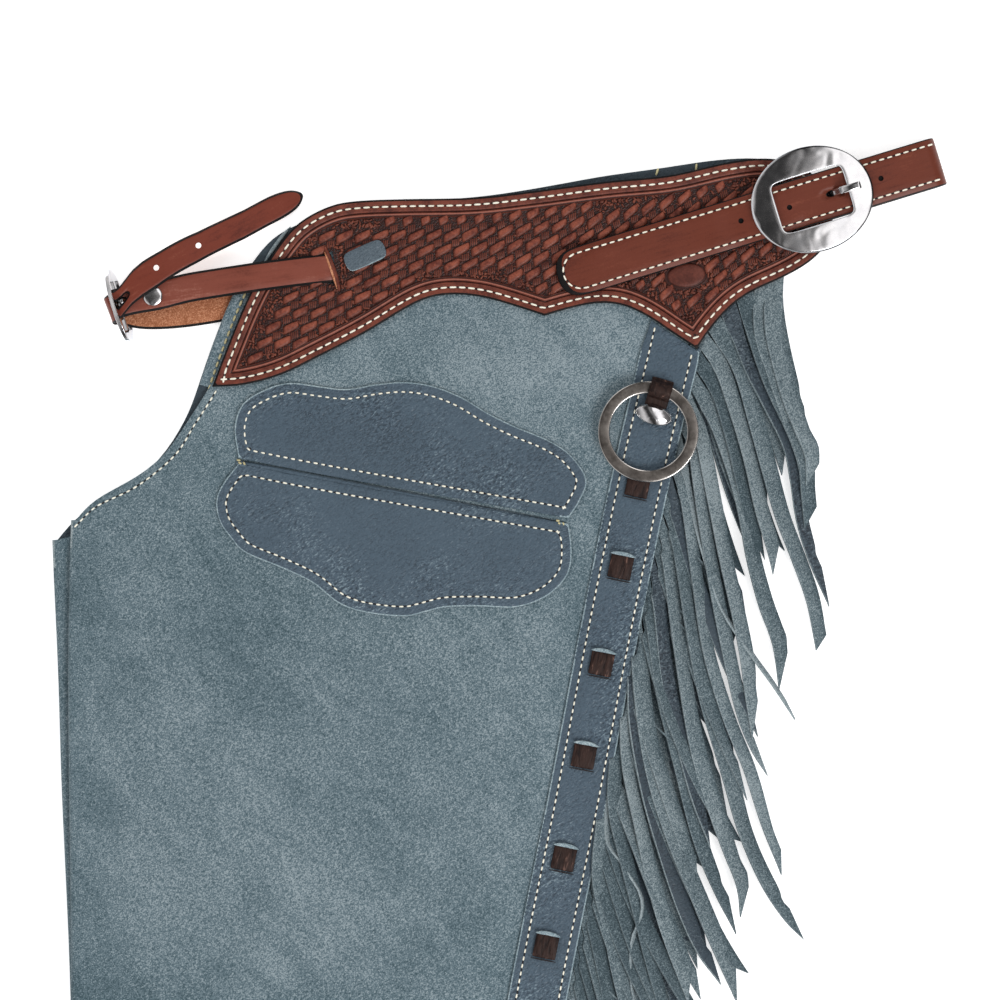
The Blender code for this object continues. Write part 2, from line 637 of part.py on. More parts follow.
def fringe(name, line, strip_lift, rest_z, strand_w, start_angle, end_angle, length_of):
    """A comb of strands cut from one strip that is sewn into the outer seam.

    Each strand leaves the seam flat, turns down and rolls, so that its inner edge goes under the next strand.
    """
    total = sum(math.dist(a, b) for a, b in zip(line, line[1:]))
    count = int((total - SLIT_W) / STRAND_PITCH)
    bm = bmesh.new()

    def strip_station(distance):
        (x, y), (dx, dy) = along(line, distance)
        ix, iy = x + dy * STRIP_W, y - dx * STRIP_W
        z, iz = strip_lift(x, y), strip_lift(ix, iy)
        return [bm.verts.new(p) for p in ((ix, iy, iz), (ix, iy, iz + STRAND_T), (x, y, z + STRAND_T), (x, y, z))]

    stations = []
    for k in range(count):
        stations.append(strip_station(k * STRAND_PITCH))
        stations.append(strip_station(k * STRAND_PITCH + STRAND_PITCH - SLIT_W))
    for i, (a, b) in enumerate(zip(stations, stations[1:])):
        bm.faces.new((a[0], b[0], b[1], a[1]))
        bm.faces.new((a[1], b[1], b[2], a[2]))
        bm.faces.new((a[3], b[3], b[0], a[0]))
        if i % 2:
            bm.faces.new((a[2], b[2], b[3], a[3]))
    bm.faces.new(stations[0])
    bm.faces.new(stations[-1][::-1])
    for k in range(count):
        upper, lower = stations[2 * k], stations[2 * k + 1]
        (x, y), (dx, dy) = along(line, (k + 0.5) * STRAND_PITCH - SLIT_W / 2)
        seam_slant = math.degrees(math.atan2(-dx, -dy))
        root_z, start, end = strip_lift(x, y), max(start_angle(k), LEAST_TURN - seam_slant), end_angle(k)
        length = min(length_of(k), (y - HEM_Y + TRIM_BELOW_HEM) / math.cos(math.radians((start + end) / 2)))
        ring = [upper[3], upper[2], lower[2], lower[3]]
        travelled, place = 0.0, Vector((x, y))
        for reach in (8.0, 24.0, 0.5 * (24 + length), length):
            middle = (travelled + reach) / 2 / length_of(k)
            angle = math.radians(start + (end - start) * middle)
            place = place + Vector((math.sin(angle), -math.cos(angle))) * (reach - travelled)
            travelled = reach
            here = math.radians(start + (end - start) * reach / length_of(k))
            share, drop = ease((reach - 8) / 12.0), ease(reach / 20.0)
            across = (Vector((-dx, -dy)) * (1 - share) + Vector((math.cos(here), math.sin(here))) * share).normalized()
            half = strand_w / 2 * (0.35 if reach == length else 1.0)
            low_edge = root_z + (rest_z - root_z) * drop
            high_edge = max(low_edge, min(low_edge + STRAND_ROLL, rest_z + STRAND_ROLL))
            if reach == length:
                low_edge, high_edge = low_edge + 1.2, high_edge - 1.2
            a, b = place + across * half, place - across * half
            new = [bm.verts.new(p) for p in ((*a, high_edge), (*a, high_edge + STRAND_T),
                                             (*b, low_edge + STRAND_T), (*b, low_edge))]
            for j in range(4):
                bm.faces.new((ring[j], ring[(j + 1) % 4], new[(j + 1) % 4], new[j]))
            ring = new
        bm.faces.new(ring)
    bmesh.ops.recalc_face_normals(bm, faces=bm.faces)
    return finish(name, bm, SUEDE)


YOKE_STRANDS = (137, 160, 182, 158, 190)  # the lengths of the strands rooted under the yoke, from the back


def left_length(k):
    return YOKE_STRANDS[k] if k < len(YOKE_STRANDS) else 214 + 18 * math.sin(2.3 * k)


def right_length(k):
    return 190 + 12 * math.sin(1.7 * k) - (45 if k < 2 else 0)


right_root = [(x - 2.0, y) for x, y in root_line]
fringe("right_fringe", right_root, on_right_front, SEWN, UNDER_STRAND_W, lambda k: 6 + 4 * ease(k / 7),
       lambda k: 20 + 8 * ease(k / 11) + math.sin(0.45 * k), right_length)
fringe("left_fringe", root_line, on_left_front, 6.2, STRAND_W,
       lambda k: 4 + 8 * ease(k / 7) + math.sin(0.5 * k),
       lambda k: 19 + 15 * ease(k / 8) + 2.5 * math.sin(0.55 * k), left_length)


# ---- the belt, its oval buckle, chape and tongue ----
yoke_end_top = max(on_left_yoke(*turned(BAR_PLACE, a, b, BELT_HEADING)) for a in (-12, 0, 12)
                   for b in (-15, 0, 15))
bar_z = yoke_end_top + CHAPE_T + SEWN + BAR_R
belt_over_bar = bar_z + BAR_R + SEWN + 2.0 + SEWN + BELT_T / 2
frame_z = belt_over_bar + BELT_T / 2 + SEWN
TURN_R = 7.4

def belt_point(along_belt, z, share=1.0):
    x, y = turned(BAR_PLACE, along_belt, 0, BELT_HEADING)
    return (x, y, z, BELT_HEADING, share)


def belt_on_yoke(along_belt):
    """The belt's middle height where it lies on the yoke."""
    tops = [on_left_yoke(*turned(BAR_PLACE, along_belt, b, BELT_HEADING)) for b in (-16, -8, 0, 8, 16)]
    return max(tops) + BELT_T / 2


turn_along = 95.2
turn_place = turned(BAR_PLACE, turn_along, 0, BELT_HEADING)
turn_top = BELT_T / 2 + 2 * TURN_R
slot_from, slot_to = 26.5, 37.0
belt_rows = [belt_point(a, BELT_T / 2) for a in (0.5, 30, 62, 84)]
belt_rows += turn_stations(turn_place, BELT_T / 2 + TURN_R, TURN_R, BELT_HEADING, BELT_HEADING, steps=8, side=1)
belt_rows += [belt_point(a, belt_over_bar + (turn_top - belt_over_bar) * ease((a - 50) / 40)) for a in (74, 58)]
belt_rows += [belt_point(a, belt_over_bar) for a in (slot_to, slot_from, 10, 0, -8)]
belt_slot = (len(belt_rows) - 5, len(belt_rows) - 4, 1.9)
for a, drop in ((-18, 1.6), (-28, 3.6), (-39, 4.95), (-50, 5.2)):
    belt_rows.append(belt_point(a, max(belt_over_bar - drop, belt_on_yoke(a) + CHAPE_T + SEWN)))
TIP_ALONG = -155.5
for a in (-62, -84, -106, -128, -141):
    belt_rows.append(belt_point(a, belt_on_yoke(a)))
for back, share in ((8.0, 0.93), (3.5, 0.74), (0.8, 0.45), (0, 0.2)):
    belt_rows.append(belt_point(TIP_ALONG + back, belt_on_yoke(TIP_ALONG + back), share))
ribbon("belt", STRAP_BROWN, belt_rows, BELT_W, BELT_T, slot=belt_slot)

chape_low = bar_z - BAR_R - SEWN - CHAPE_T / 2
wrap_r = BAR_R + SEWN + CHAPE_T / 2
chape_rows = [belt_point(a, max(chape_low, belt_on_yoke(a) + (CHAPE_T - BELT_T) / 2)) for a in (-47, -34, -20, -5)]
chape_rows += turn_stations(BAR_PLACE, bar_z, wrap_r, BELT_HEADING, BELT_HEADING, side=1)
chape_rows += [belt_point(-5, bar_z + wrap_r - 0.3), belt_point(-13, chape_low + CHAPE_T + SEWN + 0.6),
               belt_point(-22, chape_low + CHAPE_T + SEWN)]
ribbon("belt_chape", STRAP_BROWN, chape_rows, 30.0, CHAPE_T, slot=(3, 11, 2.4))

tongue_r = BAR_R + SEWN + 1.0
tongue_rows = []
for angle in (-70, -110, -150, 170, 130, 90):
    a, rise = tongue_r * math.cos(math.radians(angle)), tongue_r * math.sin(math.radians(angle))
    tongue_rows.append(belt_point(a, bar_z + rise))
climb = ((20, tongue_r), (27.8, tongue_r), (32.2, tongue_r + 4.2), (36.5, frame_z - bar_z + PLATE_T + 2.2),
         (42, frame_z - bar_z + PLATE_T + BUCKLE_DOME + 1.2), (49, frame_z - bar_z + PLATE_T + BUCKLE_DOME + 1.1))
tongue_rows += [belt_point(a, bar_z + rise) for a, rise in climb]
ribbon("belt_tongue", CHROME, tongue_rows, 2.8, 2.0, metal=1.0)


def ellipse(half, count):
    return [(half[0] * math.cos(2 * math.pi * i / count), half[1] * math.sin(2 * math.pi * i / count))
            for i in range(count)]


def rounded_rectangle(half, radius, steps=3):
    rim = []
    for sx, sy, start in ((1, 1, 0), (-1, 1, 90), (-1, -1, 180), (1, -1, 270)):
        for i in range(steps + 1):
            angle = math.radians(start + 90 * i / steps)
            rim.append((sx * (half[0] - radius) + radius * math.cos(angle),
                        sy * (half[1] - radius) + radius * math.sin(angle)))
    return rim


def belt_buckle():
    """A domed oval plate with a window, and under it a bar carried by two lugs."""
    bm = bmesh.new()
    rings = []
    window = []
    for c, s in ellipse((1, 1), 36):
        window.append((WINDOW_HALF[0] * math.copysign(abs(c) ** 0.28, c),
                       WINDOW_HALF[1] * math.copysign(abs(s) ** 0.28, s)))
    angles = [math.atan2(y / BUCKLE_HALF[1], x / BUCKLE_HALF[0]) for x, y in window]
    for share, low, high in ((0.0, 0.0, PLATE_T + 1.3), (0.45, 0.0, PLATE_T + BUCKLE_DOME),
                             (0.85, 0.0, PLATE_T + 1.0), (1.0, 0.5, PLATE_T - 0.9)):
        ring = []
        for (wx, wy), angle in zip(window, angles):
            ex, ey = BUCKLE_HALF[0] * math.cos(angle), BUCKLE_HALF[1] * math.sin(angle)
            x, y = turned(BUCKLE_CENTRE, wx + (ex - wx) * share, wy + (ey - wy) * share, BELT_HEADING)
            ring.append((bm.verts.new((x, y, frame_z + low)), bm.verts.new((x, y, frame_z + high))))
        rings.append(ring)
    count = len(window)
    for inner, outer in zip(rings, rings[1:]):
        for i in range(count):
            j = (i + 1) % count
            bm.faces.new((inner[i][1], outer[i][1], outer[j][1], inner[j][1]))
            bm.faces.new((inner[i][0], inner[j][0], outer[j][0], outer[i][0]))
    for i in range(count):
        j = (i + 1) % count
        bm.faces.new((rings[0][i][0], rings[0][i][1], rings[0][j][1], rings[0][j][0]))
        bm.faces.new((rings[-1][i][1], rings[-1][i][0], rings[-1][j][0], rings[-1][j][1]))
    bmesh.ops.recalc_face_normals(bm, faces=bm.faces)
    finish("belt_buckle", bm, CHROME, metal=1.0, rough=0.1, round_piece=True)


def belt_bar():
    """A staple under the plate: the bar and the two lugs that carry it."""
    bm = bmesh.new()
    top, low, high = frame_z - SEWN, bar_z - BAR_R * 0.8, bar_z + BAR_R * 0.8
    rim = ((-20.2, top), (-20.2, low), (-17.2, low), (17.2, low), (20.2, low), (20.2, top), (17.2, top), (17.2, high),
           (-17.2, high), (-17.2, top))
    faces = ((0, 1, 2, 8, 9), (2, 3, 7, 8), (3, 4, 5, 6, 7))
    sides = [[bm.verts.new((*turned(BAR_PLACE, a, b, BELT_HEADING), z)) for b, z in rim]
             for a in (-BAR_R * 0.8, BAR_R * 0.8)]
    for face in faces:
        bm.faces.new([sides[0][i] for i in face])
        bm.faces.new([sides[1][i] for i in reversed(face)])
    for i in range(len(rim)):
        j = (i + 1) % len(rim)
        bm.faces.new((sides[0][i], sides[0][j], sides[1][j], sides[1][i]))
    bmesh.ops.recalc_face_normals(bm, faces=bm.faces)
    finish("belt_bar", bm, CHROME, metal=1.0, rough=0.1)


belt_buckle()
belt_bar()


# ---- the front strap, billet and small buckle ----
def front_plane(across, z, along_strap=0.0):
    x, y = turned(FRONT_BAR, along_strap, across, FRONT_HEADING)
    return (x, y, z)


def front_buckle():
    """An oval plate on edge, with a window above and one below its bar."""
    bm = bmesh.new()
    rim = ellipse(FRONT_HALF, 28)
    half_bar = BAR_R * 0.9
    wide, tall = FRONT_WINDOW
    holes = [[(-wide, s * half_bar), (wide, s * half_bar), (wide, s * tall), (-wide, s * tall)] for s in (1, -1)]
    points, edges = list(rim), [(i, (i + 1) % len(rim)) for i in range(len(rim))]
    for hole in holes:
        start = len(points)
        points += hole
        edges += [(start + i, start + (i + 1) % 4) for i in range(4)]
    made, _, faces, *_ = delaunay_2d_cdt([Vector(p) for p in points], edges, [], 2, 1e-6)
    sides = [[bm.verts.new(front_plane(v.x, FRONT_BAR_Z + v.y, s * PLATE_T / 2)) for v in made] for s in (-1, 1)]
    used = set()
    for face in faces:
        x, y = (sum(made[i][axis] for i in face) / 3 for axis in (0, 1))
        if any(inside(hole, x, y) for hole in holes):
            continue
        bm.faces.new([sides[1][i] for i in face])
        bm.faces.new([sides[0][i] for i in reversed(face)])
        used |= set(zip(face, face[1:] + face[:1]))
    for a, b in used:
        if (b, a) not in used:
            bm.faces.new((sides[0][a], sides[0][b], sides[1][b], sides[1][a]))
    bmesh.ops.recalc_face_normals(bm, faces=bm.faces)
    return finish("front_buckle", bm, CHROME, metal=1.0, rough=0.1)


front_buckle()

STRAP_WRAP = 2.1 + STRAP_T / 2
strap_at_bar = front_plane(2.0, 0)[:2]
slit_top = on_left_yoke(-113, 475.5) + STRAP_T / 2
low_run = [(turned(strap_at_bar, a, 0, h), z, h) for a, z, h in
           ((28, FRONT_BAR_Z - 1.8, 11), (12, FRONT_BAR_Z - 1.4, 14), (5.5, FRONT_BAR_Z - 2.9, 16))]
strap_rows = [(*p, z, h, 1.0) for p, z, h in low_run]
strap_rows += turn_stations(strap_at_bar, FRONT_BAR_Z, STRAP_WRAP, FRONT_HEADING, FRONT_HEADING)
high_run = [(turned(strap_at_bar, a, 0, h), z, h) for a, z, h in
            ((5.5, FRONT_BAR_Z + 2.9, 16), (12, FRONT_BAR_Z + 1.6, 14), (28, FRONT_BAR_Z + 1.1, 11))]
strap_rows += [(*p, z, h, 1.0) for p, z, h in high_run]
for x, y in ((-205, 462.2), (-190, 464.6), (-172, 467.4), (-155, 470), (-138, 472.2), (-122, 474.2)):
    ground = max(on_left_yoke(x, y + b) for b in (-8, 0, 8)) + STRAP_T / 2
    strap_rows.append((x, y, max(ground, FRONT_BAR_Z - (x + 218) * 0.03), 8.5, 1.0))
strap_rows += [(-112.6, 475.2, slit_top, 8, 1.0), (-109.6, 475.5, slit_top - 0.9, 8, 1.0),
               (-107.9, 475.6, slit_top - 3.0, 8, 1.0)]
ribbon("front_strap", STRAP_BROWN, strap_rows, STRAP_W, STRAP_T, slot=(2, 10, 2.0))

prong_r = 2.9
prong_rows = []
for angle in (150, 190, 230, 270, 315, 360):
    a, rise = prong_r * math.cos(math.radians(angle)), prong_r * math.sin(math.radians(angle))
    prong_rows.append((*turned(strap_at_bar, a, 0, FRONT_HEADING), FRONT_BAR_Z + rise, FRONT_HEADING, 1.0))
for rise in (6.0, 12.2):
    prong_rows.append((*turned(strap_at_bar, prong_r, 0, FRONT_HEADING), FRONT_BAR_Z + rise, FRONT_HEADING, 1.0))
ribbon("front_prong", CHROME, prong_rows, 2.4, 1.6, metal=1.0)

BILLET_TURN = 6.9
billet_rows = run_stations([(-146.3, 456.7, STRAP_T / 2, 1), (-170, 452.6, STRAP_T / 2, 1),
                            (-190, 448.6, 2.2, 1), (-208.5, 446, 3.6, 1), (-224, 445, 5.0, 1),
                            (-237, 445.6, 6.6, 1)])
billet_rows = [(x, y, z, h + 180, s) for x, y, z, h, s in billet_rows]
billet_rows += turn_stations(front_plane(-0.7, 0)[:2], FRONT_BAR_Z, BILLET_TURN, 8, 30, slide=3.4, steps=8)
billet_run = run_stations([(-240.8, 456.0, FRONT_BAR_Z + BILLET_TURN, 1), (-231.5, 463.8, 20.4, 1),
                           (-220.5, 473.4, 19.9, 1), (-208.5, 482.2, 18.2, 1), (-195.5, 490.6, 15.0, 1),
                           (-181, 498, 10.6, 1), (-166, 504.8, 6.4, 1), (-150, 511.8, 3.2, 1),
                           (-139.5, 516.6, 1.9, 0.92), (-132.5, 519.8, 1.5, 0.68), (-128.2, 521.8, 1.4, 0.16)],
                          first_heading=36)
billet_rows += billet_run
turn_first = 6
ribbon("front_billet", STRAP_BROWN, billet_rows, STRAP_W, STRAP_T, slot=(turn_first + 7, turn_first + 9, 1.9))

for piece_name, centre, radius, bottom_z, height in (
        ("strap_screw", SCREW_CENTRE, SCREW_R, FRONT_BAR_Z + 1.6 + STRAP_T / 2 + SEWN, 1.5),):
    bm = bmesh.new()
    rings = []
    for share, z in ((1.0, 0.0), (1.0, height - 0.5), (0.85, height)):
        rings.append([bm.verts.new((centre[0] + radius * share * c, centre[1] + radius * share * s, bottom_z + z))
                      for c, s in ellipse((1, 1), 20)])
    bm.faces.new(rings[0][::-1])
    bm.faces.new(rings[-1])
    for low, high in zip(rings, rings[1:]):
        for i in range(20):
            j = (i + 1) % 20
            bm.faces.new((low[i], low[j], high[j], high[i]))
    finish(piece_name, bm, CHROME, metal=1.0, rough=0.1, round_piece=True)

tab_rim = [turned(TAB_CENTRE, x, y, TAB_HEADING) for x, y in rounded_rectangle(TAB_HALF, 5.0)]
sheet("yoke_tab", GRAIN, tab_rim, on_left_yoke, PATCH_T)


# ---- the ring, its loop and the concho ----
band_top = max(on_left_leg(*turned(RING_CENTRE, 32 * math.cos(a), 32 * math.sin(a), 0)) for a in range(7)) + BAND_T
band_top = max(band_top, max(on_left_leg(RING_PIVOT[0] + a, RING_PIVOT[1] + b) for a in (-9, 9) for b in (-12, 12)) + BAND_T)
pivot_z = band_top + PIVOT_LIFT
hang_heading = math.degrees(math.atan2(RING_PIVOT[1] - RING_CENTRE[1], RING_PIVOT[0] - RING_CENTRE[0]))
reach = math.dist(RING_PIVOT, RING_CENTRE)
ring_tilt = math.asin((PIVOT_LIFT - RING_T / 2 - SEWN) / (reach + RING_OUTER))


def ring():
    """A bevelled flat ring, made round its pivot and tilted so that its far side rests on the band."""
    bm = bmesh.new()
    bevel, half = 0.9, RING_T / 2
    section = ((RING_INNER, -half + bevel), (RING_INNER + bevel, -half), (RING_OUTER - bevel, -half),
               (RING_OUTER, -half + bevel), (RING_OUTER, half - bevel), (RING_OUTER - bevel, half),
               (RING_INNER + bevel, half), (RING_INNER, half - bevel))
    count = 44
    rows = []
    for i in range(count):
        angle = 2 * math.pi * i / count
        row = []
        for r, z in section:
            along_hang, across = r * math.cos(angle) - reach, r * math.sin(angle)
            tipped = along_hang * math.cos(ring_tilt) - z * math.sin(ring_tilt)
            height = along_hang * math.sin(ring_tilt) + z * math.cos(ring_tilt)
            x, y = turned((0, 0), tipped, across, hang_heading)
            row.append(bm.verts.new((x, y, height)))
        rows.append(row)
    for here, there in zip(rows, rows[1:] + rows[:1]):
        for k in range(8):
            m = (k + 1) % 8
            bm.faces.new((here[k], there[k], there[m], here[m]))
    bmesh.ops.recalc_face_normals(bm, faces=bm.faces)
    return finish("ring", bm, NICKEL, metal=1.0, rough=0.35, round_piece=True)


ring_object = ring()


def loop_station(away, z):
    x, y = turned(RING_PIVOT, away, 0, hang_heading)
    return (x, y, z, hang_heading, 1.0)


loop_r = 5.1 + LOOP_T / 2
foot_z = band_top + SEWN + LOOP_T / 2
loop_rows = [loop_station(9.4, foot_z), loop_station(7.9, foot_z + 0.15)]
for angle in (-12, 15, 45, 75, 105, 135, 165, 192):
    a = math.radians(angle)
    loop_rows.append(loop_station(loop_r * math.cos(a), max(pivot_z + loop_r * math.sin(a), foot_z + 1.0)))
loop_rows += [loop_station(-7.9, foot_z + 0.15), loop_station(-21.5, foot_z)]
ribbon("ring_loop", LACE_BROWN, loop_rows, LOOP_W, LOOP_T)


def concho():
    """A domed oval button on the foot of the loop."""
    bm = bmesh.new()
    count = 20
    base = foot_z + LOOP_T / 2 + SEWN
    rings = []
    for share, z in ((0.9, 0.0), (1.0, 0.6), (0.82, 2.4), (0.45, 3.6)):
        ring_points = []
        for c, s in ellipse((1, 1), count):
            x, y = turned(CONCHO_CENTRE, CONCHO_HALF[0] * share * c, CONCHO_HALF[1] * share * s, hang_heading - 90)
            ring_points.append(bm.verts.new((x, y, base + z)))
        rings.append(ring_points)
    top = bm.verts.new((*CONCHO_CENTRE, base + CONCHO_T))
    bm.faces.new(rings[0][::-1])
    for low, high in zip(rings, rings[1:]):
        for i in range(count):
            j = (i + 1) % count
            bm.faces.new((low[i], low[j], high[j], high[i]))
    for i in range(count):
        bm.faces.new((rings[-1][i], rings[-1][(i + 1) % count], top))
    return finish("concho", bm, CHROME, metal=1.0, rough=0.1, round_piece=True)


concho()

# ---- place everything in the part's frame: the middle of the box in plan, the table at zero ----
ring_object.location = (*RING_PIVOT, pivot_z)
low, high = [1e9] * 3, [-1e9] * 3
for piece in pieces:
    for vertex in piece.data.vertices:
        for axis, value in enumerate(vertex.co + piece.location):
            low[axis], high[axis] = min(low[axis], value), max(high[axis], value)
origin = Vector(((low[0] + high[0]) / 2, (low[1] + high[1]) / 2, 0))
for piece in pieces:
    if piece is ring_object:
        piece.data.transform(piece.matrix_world.Identity(4) * MM)
        piece.location = (piece.location - origin) * MM
    else:
        for vertex in piece.data.vertices:
            vertex.co = (vertex.co - origin) * MM
bpy.context.view_layer.update()
print("box", [round(v, 2) for v in low], [round(v, 2) for v in high])
print("origin", tuple(round(v, 3) for v in origin), "pivot_z", round(pivot_z, 3), "band_top", round(band_top, 3),
      "bar_z", round(bar_z, 3), "frame_z", round(frame_z, 3), "heading", round(hang_heading, 3))
print("triangles", sum(len(p.data.polygons) for p in pieces), {p.name: len(p.data.polygons) for p in pieces})
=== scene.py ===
"""Fringed leather chaps, laid flat: two suede legs on a tooled yoke, with a waist belt and a front strap."""
import json
import math
import random

import bmesh
import bpy
import numpy as np
from mathutils import Matrix, Vector
from mathutils.bvhtree import BVHTree
from mathutils.geometry import delaunay_2d_cdt
from mathutils.kdtree import KDTree


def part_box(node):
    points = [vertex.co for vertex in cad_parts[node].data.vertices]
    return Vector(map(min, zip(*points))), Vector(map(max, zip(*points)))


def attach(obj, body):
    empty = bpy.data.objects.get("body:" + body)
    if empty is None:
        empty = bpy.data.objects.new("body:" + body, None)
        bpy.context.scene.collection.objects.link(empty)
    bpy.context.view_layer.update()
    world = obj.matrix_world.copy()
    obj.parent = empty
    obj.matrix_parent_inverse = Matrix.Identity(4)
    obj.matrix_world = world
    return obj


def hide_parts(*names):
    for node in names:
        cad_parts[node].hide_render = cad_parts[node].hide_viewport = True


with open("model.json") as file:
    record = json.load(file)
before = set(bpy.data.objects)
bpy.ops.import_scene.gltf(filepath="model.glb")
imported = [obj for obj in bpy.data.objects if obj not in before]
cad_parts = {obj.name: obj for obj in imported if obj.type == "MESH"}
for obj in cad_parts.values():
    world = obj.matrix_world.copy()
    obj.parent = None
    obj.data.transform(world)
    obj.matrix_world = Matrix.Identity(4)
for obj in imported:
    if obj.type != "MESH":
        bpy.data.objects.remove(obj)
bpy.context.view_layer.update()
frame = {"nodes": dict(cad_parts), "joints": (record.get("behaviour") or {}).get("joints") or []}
MM = 0.001


# ---- The legs ----
# Each leg is one split hide, rough side out, folded at the inseam and sewn at the outer seam. The front
# edge is turned under and sewn down with one row of cream thread. The inside is smooth blue grain.
class Wire:
    """An output in a material. Sums and products of wires add their maths nodes."""

    def __init__(self, finish, socket):
        self.finish, self.socket = finish, socket

    def maths(self, operation, *values):
        sockets = dict(enumerate((self,) + values))
        return self.finish.node("ShaderNodeMath", {"operation": operation}, sockets)

    def __add__(self, other):
        return self.maths("ADD", other)

    def __sub__(self, other):
        return self.maths("SUBTRACT", other)

    def __mul__(self, other):
        return self.maths("MULTIPLY", other)

    def __truediv__(self, other):
        return self.maths("DIVIDE", other)

    def __pow__(self, other):
        return self.maths("POWER", other)

    def __rsub__(self, other):
        return self * -1.0 + other

    def within(self, low, high):
        """0 at low, 1 at high, eased and held in between."""
        return self.finish.node("ShaderNodeMapRange", {"interpolation_type": "SMOOTHSTEP"},
                                {0: self, 1: low, 2: high, 3: 0.0, 4: 1.0})

    def about(self, centre, width):
        """1 at centre, falling to 0 at width on either side of it."""
        return 1 - (self - centre).maths("ABSOLUTE").within(0.0, width)

    __radd__, __rmul__ = __add__, __mul__


class Finish:
    """A leather, thread or metal finish: one Principled shader and the nodes that vary it."""

    def __init__(self, name, **constants):
        self.material = bpy.data.materials.new(name)
        self.material.use_nodes = True
        self.nodes = self.material.node_tree.nodes
        self.shader = self.nodes["Principled BSDF"]
        for socket, value in constants.items():
            self.shader.inputs[socket.replace("_", " ")].default_value = value

    def node(self, kind, settings=None, sockets=None, output=0):
        made = self.nodes.new(kind)
        for key, value in (settings or {}).items():
            setattr(made, key, value)
        for key, value in (sockets or {}).items():
            if isinstance(value, Wire):
                self.material.node_tree.links.new(value.socket, made.inputs[key])
            else:
                made.inputs[key].default_value = value
        return Wire(self, made.outputs[output])

    def place(self):
        return self.node("ShaderNodeTexCoord", output="Object")

    def read(self, attribute, output="Fac"):
        return self.node("ShaderNodeAttribute", {"attribute_name": attribute}, output=output)

    def cloud(self, where, size_mm, detail=3.0, roughness=0.6, distortion=0.0):
        """Noise with features of about size_mm."""
        return self.node("ShaderNodeTexNoise", sockets={
            "Vector": where, "Scale": 0.6 / (size_mm * MM), "Detail": detail, "Roughness": roughness,
            "Distortion": distortion})

    def cells(self, where, size_mm, feature="F1", output="Distance"):
        return self.node("ShaderNodeTexVoronoi", {"feature": feature},
                         {"Vector": where, "Scale": 1.0 / (size_mm * MM), "Randomness": 0.9}, output)

    def stretched(self, where, longer, heading=0.0):
        """Places whose features come out longer along a heading."""
        return self.node("ShaderNodeMapping", {"vector_type": "TEXTURE"}, {
            "Vector": where, "Rotation": (0, 0, math.radians(heading)), "Scale": (longer, 1.0, 1.0)})

    def blend(self, share, first, second, kind="MIX"):
        return self.node("ShaderNodeMix", {"data_type": "RGBA", "blend_type": kind},
                         {0: share, 6: first, 7: second}, 2)

    def shaded(self, tone, colours, *spans):
        """Colours along a tone. Each one after the first takes over within its span."""
        colour = colours[0]
        for (low, high), following in zip(spans, colours[1:]):
            colour = self.blend(tone.within(low, high), colour, following)
        return colour

    def bump(self, height, depth_mm, strength=1.0, under=None):
        sockets = {"Strength": strength, "Distance": depth_mm * MM, "Height": height}
        if under:
            sockets["Normal"] = under
        return self.node("ShaderNodeBump", sockets=sockets)

    def feed(self, **wires):
        for socket, wire in wires.items():
            self.material.node_tree.links.new(wire.socket, self.shader.inputs[socket.replace("_", " ")])
        return self.material


def dye(*screen):
    """A colour from its red, green and blue on a screen, 0 to 255."""
    return tuple(((c / 255 + 0.055) / 1.055) ** 2.4 if c > 10 else c / 3295 for c in screen) + (1.0,)


# Where a leg is paler and darker, in metres: round a place on the thigh, and between two x at the fold,
# where the fold's shade is painted.
THIGH, THIGH_REACH, THIGH_PALER = (0.01, 0.385, 0.01), (0.03, 0.16), 0.2
FOLD_REACH, FOLD_PAINTED_SHADE = (-0.275, -0.22), 0.15


def suede_finish(name, shadow, middle, light, shade=None, whole_leg=False):
    """Brushed split leather: slow blotches, brush marks and a short nap. A leg is paler high on its thigh
    and darker along its fold, where the fold's shade is painted."""
    finish = Finish(name, Roughness=0.95, Specular_IOR_Level=0.15, Sheen_Weight=0.1, Sheen_Roughness=0.5)
    where = finish.place()
    blotch = finish.cloud(where, 90, 3.0, 0.55, 0.6)
    rubs_and_glint_side = finish.cloud(finish.stretched(where, 2.2, 125), 14, 3.0, 0.55, 1.2)
    nap = finish.cloud(where, 0.5, 2.0, 0.7, 0.2)
    fibre = finish.cloud(finish.stretched(where, 1.8, 40), 0.8, 2.0, 0.6)
    tone = (blotch - 0.5) * 1.0 + (rubs_and_glint_side - 0.5) * 0.7 + (nap - 0.5) * 3.6 + (fibre - 0.5) * 1.3 + 0.5
    if shade:
        tone = tone + finish.read(shade)
    if whole_leg:
        from_thigh = finish.node("ShaderNodeVectorMath", {"operation": "DISTANCE"}, {0: where, 1: THIGH}, 1)
        along_x = finish.node("ShaderNodeSeparateXYZ", sockets={0: where})
        # Painted shade: the leg's colour is darkened along its fold.
        tone = (tone + (1 - from_thigh.within(*THIGH_REACH)) * THIGH_PALER
                - (1 - along_x.within(*FOLD_REACH)) * FOLD_PAINTED_SHADE)
    colour = finish.shaded(tone, (shadow, middle, light), (-0.15, 0.52), (0.48, 1.2))
    hair = finish.cloud(finish.stretched(where, 7.0, 150), 2.2, 1.0, 0.5, 2.5).about(0.5, 0.012)
    patchy = finish.cloud(where, 40, 2.0).within(0.56, 0.68)
    colour = finish.blend(hair * patchy * 0.35, colour, light)
    bumps = finish.bump(nap * 0.6 + fibre * 0.4, 0.35, 0.55, finish.bump(rubs_and_glint_side, 1.6, 0.25))
    return finish.feed(Base_Color=colour, Normal=bumps)


